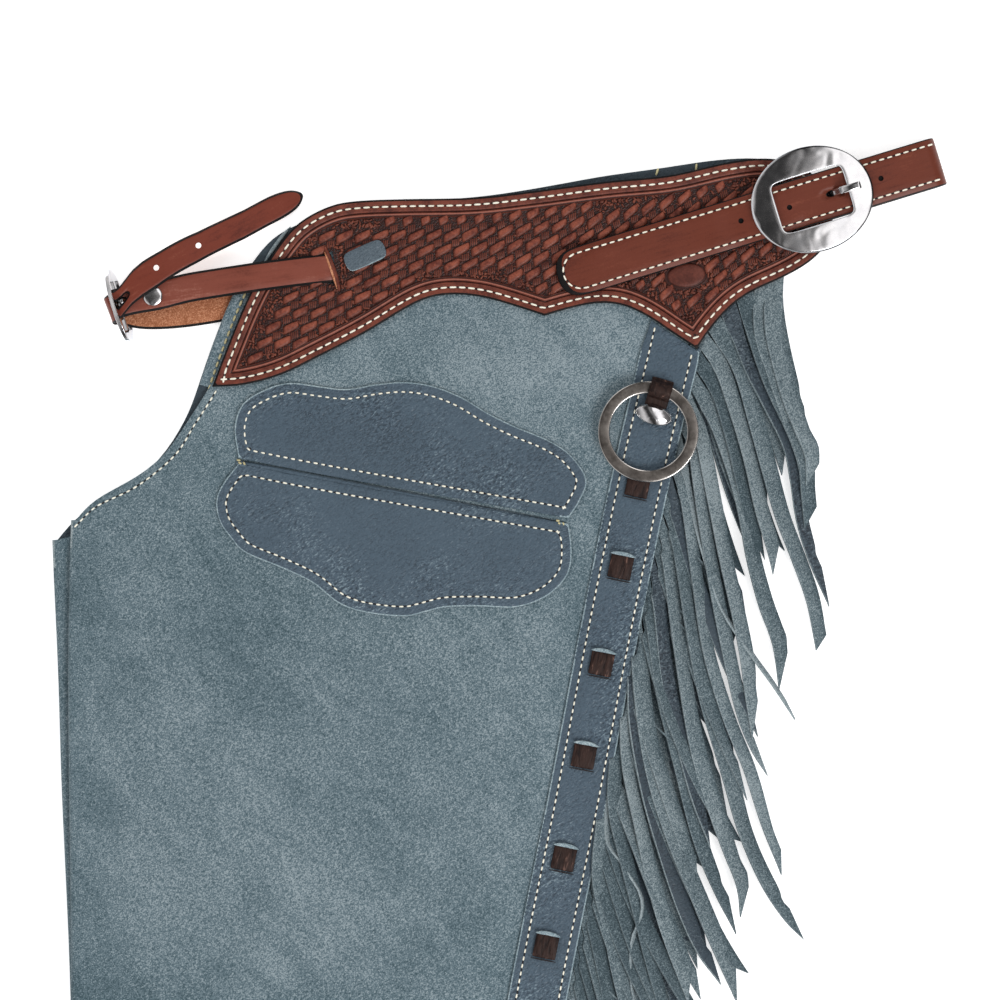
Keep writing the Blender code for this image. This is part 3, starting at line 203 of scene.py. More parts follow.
def grain_finish(name, low, middle, high, crease_turn=32, pebble=1.5, gloss=0.42):
    """Smooth-side leather: slanting pebbles between fine creases, with a dull shine on their tops. Their
    colour is painted lighter on the tops and darker in the creases, a painted highlight and painted shade
    over the grain's own tone.
    """
    finish = Finish(name, Specular_IOR_Level=0.32)
    where = finish.place()
    speckle = finish.node("ShaderNodeTexNoise", None, {"Vector": where, "Scale": 130.0, "Detail": 2.0}, 1)
    drift = finish.node("ShaderNodeVectorMath", {"operation": "MULTIPLY_ADD"},
                        {0: speckle, 1: (0.003, 0.003, 0.003), 2: where})
    slanted = finish.stretched(drift, 1.9, crease_turn)
    crease = finish.cells(slanted, pebble, "DISTANCE_TO_EDGE").within(0.0, 0.3)
    ripple = finish.cloud(slanted, pebble * 0.6, 1.0, 0.5)
    slow, speck = finish.cloud(where, 45, 3.0), finish.cloud(where, 0.6, 1.0, 0.6)
    strong = finish.cloud(where, 38, 1.0).within(0.38, 0.68) * 0.85 + 0.3
    # Painted highlight and painted shade: the pebbles' colour follows their height, as their bump does.
    pebbles = (crease * 0.35 + (ripple - 0.5) * 2.4) * strong
    tone = pebbles + (slow - 0.5) * 0.9 + (speck - 0.5) * 0.9 + 0.28
    colour = finish.shaded(tone, (low, middle, high), (-0.25, 0.5), (0.5, 1.3))
    bumps = finish.bump(pebbles + slow, 0.7, 0.75)
    rough = gloss + (1 - crease) * 0.25 + (speck - 0.5) * 0.2
    return finish.feed(Base_Color=colour, Normal=bumps, Roughness=rough)


suede = suede_finish("suede", dye(58, 76, 83), dye(93, 110, 118), dye(142, 154, 159), whole_leg=True)
suede_edge = suede_finish("suede_cut_edge", dye(100, 114, 119), dye(128, 140, 144), dye(166, 175, 178))
blue_grain = grain_finish("blue_grain", dye(48, 61, 72), dye(69, 85, 98), dye(114, 131, 141))
inner_grain = grain_finish("inner_grain", dye(34, 43, 50), dye(52, 64, 72), dye(82, 94, 102), pebble=1.6)


def placed(x, y, z=0.0):
    """Plan millimetres as metres in the row's frame. The strap's screw shows where the plan lies."""
    return Vector((x * MM, y * MM, z * MM)) + plan_zero


SCREW_X, SCREW_Y = -225.5, 457.0
screw_low, screw_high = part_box("strap_screw")
plan_zero = (screw_low + screw_high) / 2 - Vector((SCREW_X * MM, SCREW_Y * MM, 0))
plan_zero.z = 0.0


def merged(node):
    """A welded copy of a node's mesh, in metres."""
    work = bmesh.new()
    work.from_mesh(frame["nodes"][node].data)
    bmesh.ops.remove_doubles(work, verts=work.verts, dist=2e-6)
    return work


def solid_of(node):
    """A node's surface, to cast rays at."""
    work = merged(node)
    tree = BVHTree.FromBMesh(work)
    work.free()
    return tree


def as_mesh(work, name, smooth=True):
    """Ends the work on a mesh, its faces smooth or as they are."""
    if smooth:
        for side in work.faces:
            side.smooth = True
    mesh = bpy.data.meshes.new(name)
    work.to_mesh(mesh)
    work.free()
    return mesh


def skin(work, rings, closed=True, flipped=False):
    """Joins each ring of points to the next one with four-sided faces."""
    sides = []
    for a, b in zip(rings, rings[1:]):
        for i in range(len(a) if closed else len(a) - 1):
            j = (i + 1) % len(a)
            sides.append(work.faces.new((a[i], a[j], b[j], b[i]) if flipped else (a[i], b[i], b[j], a[j])))
    return sides


def mark(mesh, key, values):
    """Gives every point of a mesh a number, or three."""
    values = np.array(values, np.float32)
    kind, field = ("FLOAT", "value") if values.ndim == 1 else ("FLOAT_VECTOR", "vector")
    mesh.attributes.new(key, kind, "POINT").data.foreach_set(field, values.ravel())


def shown(name, mesh, *materials):
    made = bpy.data.objects.new(name, mesh)
    bpy.context.scene.collection.objects.link(made)
    for material in materials:
        mesh.materials.append(material)
    return made


def dress(piece, node=None, body="chaps"):
    """Says which body a piece rides on and which node it stands for."""
    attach(piece, body)
    if node:
        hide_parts(node)
    return piece


def settled(piece):
    """Turns what a piece's modifiers make into its plain mesh."""
    seen = piece.evaluated_get(bpy.context.evaluated_depsgraph_get())
    mesh = bpy.data.meshes.new_from_object(seen)
    piece.modifiers.clear()
    piece.data = mesh
    return piece


def refined(name, node, thickness, face, edge, levels=2, bevel=0.4, sharp=35, inner=None, worn=0.0, held=True,
            upper_cut=1.0, lower_cut=1.0):
    """A smoother copy of a CAD sheet or strap, its edges eased and finished apart.

    With worn, the edges are cut back by that much before they are rounded: the upper ones by upper_cut
    times as much, the others by lower_cut. With inner, the wall that a folded sheet hides has its own finish.
    """
    work = merged(node)
    bmesh.ops.join_triangles(work, faces=work.faces, angle_face_threshold=0.5, angle_shape_threshold=1.4)
    crease = work.edges.layers.float.new("crease_edge")
    weight = work.edges.layers.float.new("bevel_weight_edge")
    corners = {line for line in work.edges if line.calc_face_angle(0) > math.radians(sharp)}
    for line in corners:
        line[crease] = 0.0 if worn else 1.0
        line[weight] = upper_cut if max(side.normal.z for side in line.link_faces) > 0.4 else lower_cut
    for side in work.faces:
        longest = max(line.calc_length() for line in side.edges)
        narrow = side.calc_area() / longest < (thickness + 0.3) * MM
        side.material_index = 1 if narrow and sum(line in corners for line in side.edges) > 1 else 0
    if inner:
        lowest = min(work.verts, key=lambda v: v.co.z)
        outer_wall = {side for side in lowest.link_faces if side.material_index == 0}
        fresh = set(outer_wall)
        while fresh:
            fresh = {other for side in fresh for line in side.edges for other in line.link_faces
                     if other.material_index == 0 and other not in outer_wall}
            outer_wall |= fresh
        for side in work.faces:
            if side.material_index == 0 and side not in outer_wall:
                side.material_index = 2
    piece = shown(name, as_mesh(work, name), face, edge, inner or face)
    if worn:
        cut = piece.modifiers.new("cut", "BEVEL")
        cut.width, cut.segments, cut.limit_method = worn * MM, 1, "WEIGHT"
        cut.material, cut.use_clamp_overlap, bevel = 1, held, 0
        work = bmesh.new()
        work.from_mesh(settled(piece).data)
        crease = work.edges.layers.float.get("crease_edge") or work.edges.layers.float.new("crease_edge")
        for line in work.edges:
            line[crease] = float(len({side.material_index for side in line.link_faces}) > 1)
        work.to_mesh(piece.data)
        work.free()
    rounds = piece.modifiers.new("rounds", "SUBSURF")
    rounds.levels = rounds.render_levels = levels
    rounds.use_limit_surface = False
    settled(piece)
    if bevel:
        eased = piece.modifiers.new("eased", "BEVEL")
        eased.width, eased.segments, eased.material = bevel * MM, 2, 1
        eased.limit_method, eased.angle_limit = "ANGLE", math.radians(50)
        eased.use_clamp_overlap, eased.harden_normals = True, False
        settled(piece)
    piece.data.shade_smooth()
    piece.data.set_sharp_from_angle(angle=math.radians(50))
    return piece


def smooth(points, step):
    """A smooth curve through points, sampled about every step."""
    rows = [2 * np.array(points[0]) - points[1]] + [np.array(p, float) for p in points]
    rows.append(2 * rows[-1] - rows[-2])
    made = []
    for a, b, c, d in zip(rows, rows[1:], rows[2:], rows[3:]):
        count = max(1, round(np.linalg.norm(c - b) / step))
        for t in np.arange(count) / count:
            made.append(0.5 * (2 * b + (c - a) * t + (2 * a - 5 * b + 4 * c - d) * t * t
                               + (3 * b - a - 3 * c + d) * t ** 3))
    return [tuple(p) for p in made] + [tuple(rows[-2])]


def reach_along(line):
    """How far along a line each of its points lies."""
    return np.concatenate([[0], np.cumsum(np.linalg.norm(np.diff(line, axis=0), axis=1))])


def spaced(line, step):
    """An open line with points at even steps."""
    line = np.array(line, float)
    reach = reach_along(line)
    marks = np.linspace(0, reach[-1], max(2, round(reach[-1] / step) + 1))
    columns = [np.interp(marks, reach, line[:, i]) for i in range(line.shape[1])]
    return [tuple(p) for p in np.stack(columns, 1)]


def directions(line):
    """The way an open line travels at each of its points."""
    ahead = np.gradient(line, axis=0)
    return ahead / np.linalg.norm(ahead, axis=1)[:, None]


def beside(line, distance):
    """An open line moved to the left of its travel."""
    line = np.array(line, float)
    ahead = directions(line)
    return [tuple(p) for p in line + np.stack([-ahead[:, 1], ahead[:, 0]], 1) * distance]


def above(piece):
    """Reads the height of a piece's top, in plan millimetres."""
    mesh = piece.data
    tree = BVHTree.FromPolygons([v.co for v in mesh.vertices], [side.vertices for side in mesh.polygons])

    def height(x, y, otherwise=0.0):
        hit = tree.ray_cast(placed(x, y, 100), Vector((0, 0, -1)))[0]
        return hit.z / MM if hit else otherwise
    return height


def laid(line, height, lift=0.0, trimmed=False):
    """A plan line laid on a piece's top. Trimmed, it leaves out the points beside the piece."""
    return [(x, y, height(x, y) + lift) for x, y in line if not trimmed or height(x, y, None) is not None]


def piece_tree(name, first, *numbers):
    """Geometry Nodes: sets a small piece on points, makes the copies real and gives them a finish."""
    tree = bpy.data.node_groups.new(name, "GeometryNodeTree")
    for label, kind in ((first, "Geometry"), ("Piece", "Object"), *((number, "Float") for number in numbers),
                        ("Finish", "Material")):
        tree.interface.new_socket(label, in_out="INPUT", socket_type=f"NodeSocket{kind}")
    tree.interface.new_socket("Result", in_out="OUTPUT", socket_type="NodeSocketGeometry")

    def node(kind, **settings):
        made = tree.nodes.new(kind)
        for key, value in settings.items():
            setattr(made, key, value)
        return made

    def join(*links):
        for source, output, target, socket in links:
            tree.links.new(source.outputs[output], target.inputs[socket])
    start, end = node("NodeGroupInput"), node("NodeGroupOutput")
    piece, put = node("GeometryNodeObjectInfo"), node("GeometryNodeInstanceOnPoints")
    real, paint = node("GeometryNodeRealizeInstances"), node("GeometryNodeSetMaterial")
    join((start, "Piece", piece, "Object"), (piece, "Geometry", put, "Instance"),
         (put, "Instances", real, "Geometry"), (real, "Geometry", paint, "Geometry"),
         (start, "Finish", paint, "Material"), (paint, "Geometry", end, "Result"))
    return tree, node, join, start, put


def pieces_along_lines():
    """Small pieces set head to tail along every line of a mesh, some a little smaller."""
    tree, node, join, start, put = piece_tree("pieces_along_lines", "Lines", "Spacing", "Unevenness")
    curve, even = node("GeometryNodeMeshToCurve"), node("GeometryNodeResampleCurve", mode="LENGTH")
    tangent = node("GeometryNodeInputTangent")
    turn = node("FunctionNodeAxesToRotation", primary_axis="X", secondary_axis="Z")
    turn.inputs["Secondary Axis"].default_value = (0, 0, 1)
    smallest = node("ShaderNodeMath", operation="SUBTRACT")
    smallest.inputs[0].default_value = 1.0
    sizes = node("FunctionNodeRandomValue", data_type="FLOAT")
    sizes.inputs["Seed"].default_value = 7
    join((start, "Lines", curve, "Mesh"), (curve, "Curve", even, "Curve"), (start, "Spacing", even, "Length"),
         (even, "Curve", put, "Points"), (tangent, "Tangent", turn, "Primary Axis"),
         (turn, "Rotation", put, "Rotation"), (start, "Unevenness", smallest, 1), (smallest, 0, sizes, 2),
         (sizes, 1, put, "Scale"))
    return tree


def pieces_at_points():
    """One small piece at every point of a mesh, turned and sized by the point's attributes."""
    tree, node, join, start, put = piece_tree("pieces_at_points", "Points")
    turn, size = (node("GeometryNodeInputNamedAttribute", data_type="FLOAT_VECTOR") for _ in range(2))
    turn.inputs["Name"].default_value, size.inputs["Name"].default_value = "turn", "size"
    euler = node("FunctionNodeEulerToRotation")
    join((start, "Points", put, "Points"), (turn, "Attribute", euler, "Euler"),
         (euler, "Rotation", put, "Rotation"), (size, "Attribute", put, "Scale"))
    return tree


along_lines, at_points = pieces_along_lines(), pieces_at_points()


def arranged(name, mesh, tree, slot, **inputs):
    """Runs a tree on a mesh and keeps the result as a plain piece of the chaps."""
    piece = shown(name, mesh)
    maker = piece.modifiers.new("maker", "NODES")
    maker.node_group = tree
    for item in tree.interface.items_tree:
        if item.name in inputs:
            maker[item.identifier] = inputs[item.name]
    return dress(settled(piece))


def lines_mesh(name, lines):
    """A mesh of open lines, each a list of plan points (x, y, z)."""
    verts, edges = [], []
    for line in lines:
        start = len(verts)
        verts += [placed(*p) for p in line]
        edges += [(start + i, start + i + 1) for i in range(len(line) - 1)]
    mesh = bpy.data.meshes.new(name)
    mesh.from_pydata(verts, edges, [])
    return mesh


def points_mesh(name, rows):
    """A mesh of loose points from rows of (place, turn in degrees, size)."""
    mesh = bpy.data.meshes.new(name)
    mesh.from_pydata([placed(*place) for place, _, _ in rows], [], [])
    mark(mesh, "turn", [tuple(math.radians(a) for a in turn) for _, turn, _ in rows])
    mark(mesh, "size", [size for _, _, size in rows])
    return mesh


def stamp(name, rings, closed=True):
    """A small piece from rings of points in millimetres. It is a pattern for the trees above, never shown.

    A fourth number with a point is how dark it is painted, for finishes that read "low". On the bars part
    of it is painted shadow.
    """
    work = bmesh.new()
    low = work.verts.layers.float.new("low")
    made = []
    for ring in rings:
        made.append([])
        for x, y, z, *dark in ring:
            made[-1].append(work.verts.new(Vector((x, y, z)) * MM))
            made[-1][-1][low] = dark[0] if dark else 0.0
    skin(work, made, closed)
    if closed:
        work.faces.new(made[0])
        work.faces.new(made[-1][::-1])
    bmesh.ops.recalc_face_normals(work, faces=work.faces)
    return bpy.data.objects.new(name, as_mesh(work, name))


hexagon = [math.radians(60 * k) for k in range(6)]


def stitch(length, width, lift=0.42):
    """One laid stitch: a short thread whose ends dip into their holes."""
    rings = []
    for t in (-0.5, -0.42, -0.25, 0.0, 0.25, 0.42, 0.5):
        drop = (abs(t) * 2) ** 4
        half = width / 2 * (1 - 0.55 * drop)
        rings.append([(t * length, half * math.cos(a), lift - 0.75 * drop + half * 0.7 * math.sin(a))
                      for a in hexagon])
    return stamp("stitch", rings)


def thread_finish(name, colour, shadow):
    """Waxed sewing thread with the slant of its twist."""
    finish = Finish(name, Roughness=0.6, Specular_IOR_Level=0.3)
    where = finish.place()
    twist = finish.node("ShaderNodeTexWave", {"bands_direction": "DIAGONAL"}, {
        "Vector": where, "Scale": 900.0, "Distortion": 2.0})
    dirt = finish.cloud(where, 25, 3.0)
    tone = (twist * 0.35 + dirt * 0.9).within(0.15, 0.75)
    return finish.feed(Base_Color=finish.blend(tone, shadow, colour), Normal=finish.bump(twist, 0.15, 0.5))


def ribbons(name, lines, width, thickness, finish, taper=0.0):
    """Thin domed strips of leather along lines of plan points, each lying on its line."""
    section = ((-1, 0), (-0.97, 0.6), (-0.7, 1), (0, 1.1), (0.7, 1), (0.97, 0.6), (1, 0))  # across, up
    work = bmesh.new()
    for line in lines:
        rows = []
        for i, ((x, y, z), (ax, ay)) in enumerate(zip(line, directions(np.array(line)[:, :2]))):
            t = 2 * i / (len(line) - 1) - 1
            half = width / 2 * max(1 - taper * abs(t) ** 3, 0.12)
            rows.append([work.verts.new(placed(x - ay * half * u, y + ax * half * u, z + thickness * h))
                         for u, h in section])
        skin(work, rows)
        work.faces.new(rows[0])
        work.faces.new(rows[-1][::-1])
    bmesh.ops.recalc_face_normals(work, faces=work.faces)
    for side in work.faces:
        side.smooth = len(side.verts) == 4
    piece = shown(name, as_mesh(work, name, smooth=False), finish)
    piece.data.set_sharp_from_angle(angle=math.radians(60))
    return dress(piece)


# Painted shade: a dark finish for the needle holes between stitches and for the strips below the lace bars.
painted_hole_shade = thread_finish("painted_hole_shade", dye(34, 30, 31), dye(22, 20, 22))
cream_thread = thread_finish("cream_thread", dye(248, 244, 228), dye(204, 198, 174))
khaki_thread = thread_finish("khaki_thread", dye(206, 196, 152), dye(140, 131, 98))

legs = {}
for node, width, length, area in (("left_leg", 0.640, 1.015, 0.567), ("right_leg", 0.640, 1.020, 0.568)):
    leg = refined(f"{node}_suede", node, 1.6, suede, suede_edge, bevel=0.35, sharp=40, inner=inner_grain)
    dress(leg, node)
    legs[node] = leg
on_left_leg, on_right_leg = above(legs["left_leg"]), above(legs["right_leg"])
LEFT_FRONT = ((-278.5, 312), (-264.5, 325), (-238.5, 338), (-215, 357), (-203, 375.5), (-194.5, 388.5),
              (-189, 397.5))
RIGHT_FRONT = ((-221, 349.5), (-203.5, 377.5), (-190.5, 415.5), (-174, 458), (-161, 479.5))
HEM_SEAM_IN, HEM_W, HEM_FROM, HEM_TO = 5.0, 11.5, 398, 478
seams = [laid(beside(smooth(LEFT_FRONT, 2.5), -HEM_SEAM_IN), on_left_leg, trimmed=True)]
turned_edge = [(x, y) for x, y in beside(smooth(RIGHT_FRONT, 3.0), -6.2) if HEM_FROM < y < HEM_TO]
hem = ribbons("right_leg_hem", [laid(turned_edge, on_right_leg, 0.1)], HEM_W, 1.1, suede)
hem_seam = [laid(beside(turned_edge, -1.2), on_right_leg, 1.3)]
tacks = [((x, y, on_right_leg(x, y)), (0, 0, turn), (1.5, 1.2, 1.2))
         for x, y, turn in ((102.0, 538.0, 72), (127.4, 541.0, 84))]

# ---- The pocket ----
# A pocket's two facing patches, cut from smooth blue leather and sewn on round their edges. The slit
# between them is the pocket's mouth, and a few bar tacks hold each of its ends.


def upper_rims(node):
    """The outlines of a flat node's upper side, in plan millimetres, the outer one first."""
    work = merged(node)
    after = {}
    for side in work.faces:
        if side.normal.z > 0.35:
            for corner in side.loops:
                if all(other is side or other.normal.z <= 0.35 for other in corner.edge.link_faces):
                    after[corner.vert] = corner.link_loop_next.vert
    rims = []
    while after:
        vert = next(iter(after))
        rim = []
        while vert in after:
            rim.append(((vert.co.x - plan_zero.x) / MM, (vert.co.y - plan_zero.y) / MM))
            vert = after.pop(vert)
        rims.append(rim)
    work.free()
    return sorted(rims, key=len, reverse=True)


def rounded(rim, step, corner=45):
    """A rim as a smooth closed curve that keeps its corners."""
    count = len(rim)
    points = [np.array(p) for p in rim]

    def bend(i):
        a, b = points[i] - points[i - 1], points[(i + 1) % count] - points[i]
        return abs(math.degrees(math.atan2(a[0] * b[1] - a[1] * b[0], a @ b)))
    corners = [i for i in range(count) if bend(i) > corner]
    if not corners:
        wrapped = smooth(points[-3:] + points + points[:3], step)
        first = min(range(len(wrapped)), key=lambda i: math.dist(wrapped[i], points[0]))
        wrapped = wrapped[first:]
        last = min(range(len(wrapped) // 2, len(wrapped)), key=lambda i: math.dist(wrapped[i], points[0]))
        return wrapped[:last]
    made = []
    for a, b in zip(corners, corners[1:] + [corners[0] + count]):
        made += smooth([points[i % count] for i in range(a, b + 1)], step)[:-1]
    return made


def distance_to(points):
    """Finds how far a place lies from the nearest of some points."""
    tree = KDTree(len(points))
    for i, (x, y) in enumerate(points):
        tree.insert((x, y, 0), i)
    tree.balance()
    return lambda x, y: tree.find((x, y, 0))[2]


def inset(rim, distance, from_rim, step=2.0):
    """A closed line at a distance inside a rim that turns left."""
    points = np.array(spaced(rim + rim[:1], step)[:-1])
    ahead = np.roll(points, -1, 0) - np.roll(points, 1, 0)
    ahead /= np.linalg.norm(ahead, axis=1)[:, None]
    moved = points + np.stack([-ahead[:, 1], ahead[:, 0]], 1) * distance
    return [tuple(p) for p in moved if from_rim(*p) >= distance * 0.97]


def inside(rims, xy):
    """Which points lie inside the rims, by counting crossings."""
    hit = np.zeros(len(xy), bool)
    x, y = xy[:, 0], xy[:, 1]
    for rim in rims:
        ring = np.array(rim)
        for (ax, ay), (bx, by) in zip(ring, np.roll(ring, -1, 0)):
            crossing = (ay > y) != (by > y)
            hit ^= crossing & (x < (bx - ax) * (y - ay) / ((by - ay) or 1e-9) + ax)
    return hit


def fine_sheet(name, node, step, face, edge, rings=(0.45, 1.0, 2.0), relief=None, rim_step=None, outline=None,
               slit=None, edge_width=0.6, corner=45):
    """A sheet rebuilt with close points: its exact rim, lines inside that, and a lattice.

    Rings are how far in those lines lie. The heights are the node's, changed by relief. An outline takes
    the place of the node's own rim, and slit moves the points round its hole.
    """
    RIM_DROP, EASED_OVER, FROM_LINES, FROM_HOLE, COARSE_STEP = 0.5, 1.1, 0.6, 1.0, 12.0
    rim_step = rim_step or step
    rims = [rounded(rim, rim_step, corner) for rim in upper_rims(node)]
    if outline:
        rims = [outline] + [[slit(x, y) for x, y in rim] for rim in rims[1:]]
    outer, holes = rims[0], rims[1:]
    from_rim = distance_to(spaced(outer + outer[:1], 0.7))
    from_hole = distance_to([p for rim in holes for p in spaced(rim + rim[:1], 0.7)])
    points, lines = [], []
    for rim in rims:
        start = len(points)
        points += rim
        lines += [(start + i, start + (i + 1) % len(rim)) for i in range(len(rim))]
    on_rims = len(points)
    for distance in rings:
        points += inset(outer, distance, from_rim, max(rim_step, min(distance * 0.5, step)))
    if holes:
        solid = inside(rims, np.array(points))
        points = [p for i, p in enumerate(points) if i < on_rims or (from_hole(*p) > 0.8 and solid[i])]
    low, high = np.array(outer).min(0), np.array(outer).max(0)
    xs, ys = np.arange(low[0], high[0], step), np.arange(low[1], high[1], step * 0.866)
    grid = np.array([(x + (row % 2) * step / 2, y) for row, y in enumerate(ys) for x in xs])
    lattice = [tuple(p) for p in grid[inside(rims, grid)] if from_rim(*p) > max(rings) + step * FROM_LINES
               and (not holes or from_hole(*p) > FROM_HOLE)]
    made, _, faces, *_ = delaunay_2d_cdt([Vector(p) for p in points + lattice], lines, [], 0, 1e-5)
    xy = np.array([(v.x, v.y) for v in made])
    middles = np.array([xy[list(f)].mean(0) for f in faces])
    faces = [f for f, keep in zip(faces, inside(rims, middles)) if keep]
    distance = np.array([from_rim(x, y) for x, y in xy])
    shell = solid_of(node)

    def height(x, y, up):
        here = placed(x, y, 60 if up else -20)
        hit = shell.ray_cast(here, Vector((0, 0, -1 if up else 1)))[0] or shell.find_nearest(here)[0]
        return hit.z / MM
    tops = np.array([height(x, y, True) for x, y in xy])
    tops -= RIM_DROP * np.clip(1 - distance / EASED_OVER, 0, 1) ** 2
    low_share = np.zeros(len(xy))
    if relief:
        change, low_share = relief(xy[:, 0], xy[:, 1], distance)
        tops += change
    verts = [placed(x, y, z) for (x, y), z in zip(xy, tops)]
    polygons = [tuple(f) for f in faces]
    finishes = [int(distance[list(f)].max() < edge_width) for f in faces]
    used = dict.fromkeys((a, b) for f in faces for a, b in zip(f, f[1:] + f[:1]))
    border = [(a, b) for a, b in used if (b, a) not in used]
    under = {}
    for v in (v for pair in border for v in pair):
        if v not in under:
            under[v] = len(verts)
            verts.append(placed(*xy[v], height(*xy[v], False)))
    polygons += [(b, a, under[a], under[b]) for a, b in border]
    finishes += [1] * len(border)
    back = list(under)
    index = {v: i for i, v in enumerate(back)}
    coarse = [p for p in lattice[::max(1, int(COARSE_STEP ** 2 / step / step))] if from_rim(*p) > 6]
    back_made, _, back_faces, back_from, *_ = delaunay_2d_cdt(
        [Vector(xy[v]) for v in back] + [Vector(p) for p in coarse],
        [(index[a], index[b]) for a, b in border], [], 0, 1e-6)
    ids = []
    for v, origin in zip(back_made, back_from):
        rim_index = [i for i in origin if i < len(back)]
        ids.append(under[back[rim_index[0]]] if rim_index else len(verts))
        if not rim_index:
            verts.append(placed(v.x, v.y, height(v.x, v.y, False)))
    back_middles = np.array([np.mean([back_made[i] for i in f], 0) for f in back_faces])
    for f, keep in zip(back_faces, inside(rims, back_middles)):
        if keep:
            polygons.append(tuple(ids[i] for i in reversed(f)))
            finishes.append(2)
    mesh = bpy.data.meshes.new(name)
    mesh.from_pydata(verts, [], polygons)
    mesh.polygons.foreach_set("material_index", finishes)
    for key, values in (("rim", distance), ("low", low_share)):
        mark(mesh, key, np.concatenate([values, np.zeros(len(verts) - len(xy))]))
    piece = shown(name, mesh, face, edge, face)
    mesh.shade_smooth()
    mesh.set_sharp_from_angle(angle=math.radians(60))
    return piece, outer, from_rim


blue_edge = suede_finish("blue_cut_edge", dye(98, 115, 124), dye(130, 147, 154), dye(172, 186, 190))
PATCH_SEAM_IN, MOUTH_FROM, MOUTH_TO, MOUTH_REACH = 6.4, -168, 39, 9
mouth = spaced([(-171, 349.2), (-107.5, 337.0), (43, 308.2)], 4.0)
mouth_x, mouth_y = zip(*mouth)
for node, width, length, area in (("upper_pocket_patch", 0.233, 0.066, 0.0130),
                                  ("lower_pocket_patch", 0.236, 0.075, 0.0150)):
    patch, rim, from_rim = fine_sheet(f"{node}_leather", node, 3.0, blue_grain, blue_edge, rim_step=2.0,
                                      rings=(0.45, 0.85, 2.0), edge_width=0.95, corner=62)
    dress(patch, node)
    line = inset(rim, PATCH_SEAM_IN, from_rim)
    seams.append(laid(line + line[:1], above(patch)))
    # Along the pocket's mouth the leather is turned in, so that no cut edge shows.
    for side in patch.data.polygons:
        x, y, _ = (side.center - plan_zero) / MM
        by_mouth = MOUTH_FROM < x < MOUTH_TO and abs(y - np.interp(x, mouth_x, mouth_y)) < MOUTH_REACH
        if side.material_index == 1 and by_mouth:
            side.material_index = 0
ribbons("pocket_welt", [laid(mouth, on_left_leg, 0.1)], 4.6, 1.0, blue_grain, taper=0.3)
dark_line = [(x, y + 2.1, z) for x, y, z in laid(mouth, on_left_leg, 0.5)]
ribbons("pocket_slit", [dark_line], 1.0, 0.9, inner_grain, taper=0.9)
tacks += [((x + along, y + across, on_left_leg(x, y) + 1.3), (0, 0, turn), (0.75, 1.1, 1.0))
          for x, y in ((mouth[0][0] + 3, mouth[0][1]), (mouth[-1][0] - 4, mouth[-1][1] + 1.8))
          for along, across, turn in ((-1.5, 1.6, -8), (-0.6, -0.2, -28), (2.2, -0.6, -60))]

# ---- The outer seam's band and its lace ----
# A long strip of smooth blue leather covers each outer seam, sewn down near both edges. A broad brown
# lace runs under it and comes out through slots, so that it shows as a row of short bars.
BAND_LINE = ((119.5, 462), (114, 435.5), (92.5, 344.5), (71.5, 243), (48.5, 123), (24, 0.5), (0, -143),
             (-17.5, -292.5), (-27.5, -465))
BAND_W, BAND_SEAM_IN, UNDER_YOKE_Y = 37.8, 5.3, 421
band_middle = spaced(smooth(BAND_LINE, 4.0), 3.0)
band, _, near_band = fine_sheet("side_band_leather", "side_band", 3.2, blue_grain, blue_edge,
                                rings=(0.5, 0.9, 2.0), rim_step=3.0, edge_width=1.0)
dress(band, "side_band")
for side in band.data.polygons:
    if side.material_index == 1 and side.center.y - plan_zero.y > UNDER_YOKE_Y * MM:
        side.material_index = 0
on_band = above(band)
for offset in (-BAND_W / 2 + BAND_SEAM_IN, BAND_W / 2 - BAND_SEAM_IN):
    line = [(x, y) for x, y in spaced(beside(band_middle, offset), 2.5) if near_band(x, y) > 3.5]
    seams.append(laid(line, on_band, trimmed=True))


def lace_finish():
    """Oiled brown lace leather, darker and wrinkled."""
    finish = Finish("brown_lace", Roughness=0.55, Specular_IOR_Level=0.18)
    where = finish.place()
    wrinkle = finish.cloud(finish.stretched(where, 5.0, 78), 1.5, 3.0, 0.6, 0.5)
    tone = (wrinkle - 0.5) * 3.2 + (finish.cloud(where, 5, 2.0) - 0.5) * 0.8 + 0.5
    colour = finish.shaded(tone, (dye(26, 16, 15), dye(47, 32, 28), dye(118, 88, 78)), (0.0, 0.6), (0.8, 1.3))
    return finish.feed(Base_Color=colour, Normal=finish.bump(wrinkle, 0.9, 0.9))


def drawn_in(piece, node, share):
    """Makes a piece a little smaller about the middle of its node, seen from above."""
    low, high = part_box(node)
    middle = (low + high).xy / 2
    for vert in piece.data.vertices:
        vert.co.xy = (vert.co.xy - middle) * share + middle


brown_lace = lace_finish()
LACE_W, SLOT_HALF = 17.5, 8.2
lips, shadows = [], []
for node in sorted(n for n in frame["nodes"] if n.startswith("lace_")):
    bar = refined(f"{node}_leather", node, 1.5, brown_lace, brown_lace, worn=0.4)
    drawn_in(bar, node, 0.93)
    dress(bar, node)
    low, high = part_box(node)
    x, y, _ = ((low + high) / 2 - plan_zero) / MM
    i = min(range(len(band_middle)), key=lambda i: math.dist(band_middle[i], (x, y)))
    up = np.array(band_middle[max(i - 4, 0)]) - band_middle[min(i + 4, len(band_middle) - 1)]
    up /= np.linalg.norm(up)
    # The band's lip bulges over each bar's upper end, and a dark strip below its lower end is painted shadow.
    for lines, along, sag, lift in ((lips, 7.4, 0.9, 0.4), (shadows, -9.2, 0.0, -0.5)):
        lines.append([(x + up[0] * (along + sag * (1 - t * t)) + up[1] * t * SLOT_HALF,
                       y + up[1] * (along + sag * (1 - t * t)) - up[0] * t * SLOT_HALF, high.z / MM + lift)
                      for t in np.linspace(-1, 1, 11)])
ribbons("lace_slot_lips", lips, 2.6, 0.9, blue_edge, taper=0.8)
# Painted shadow: a dark strip below each lace bar.
ribbons("lace_slot_gaps", shadows, 0.9, 0.7, painted_hole_shade, taper=0.5)

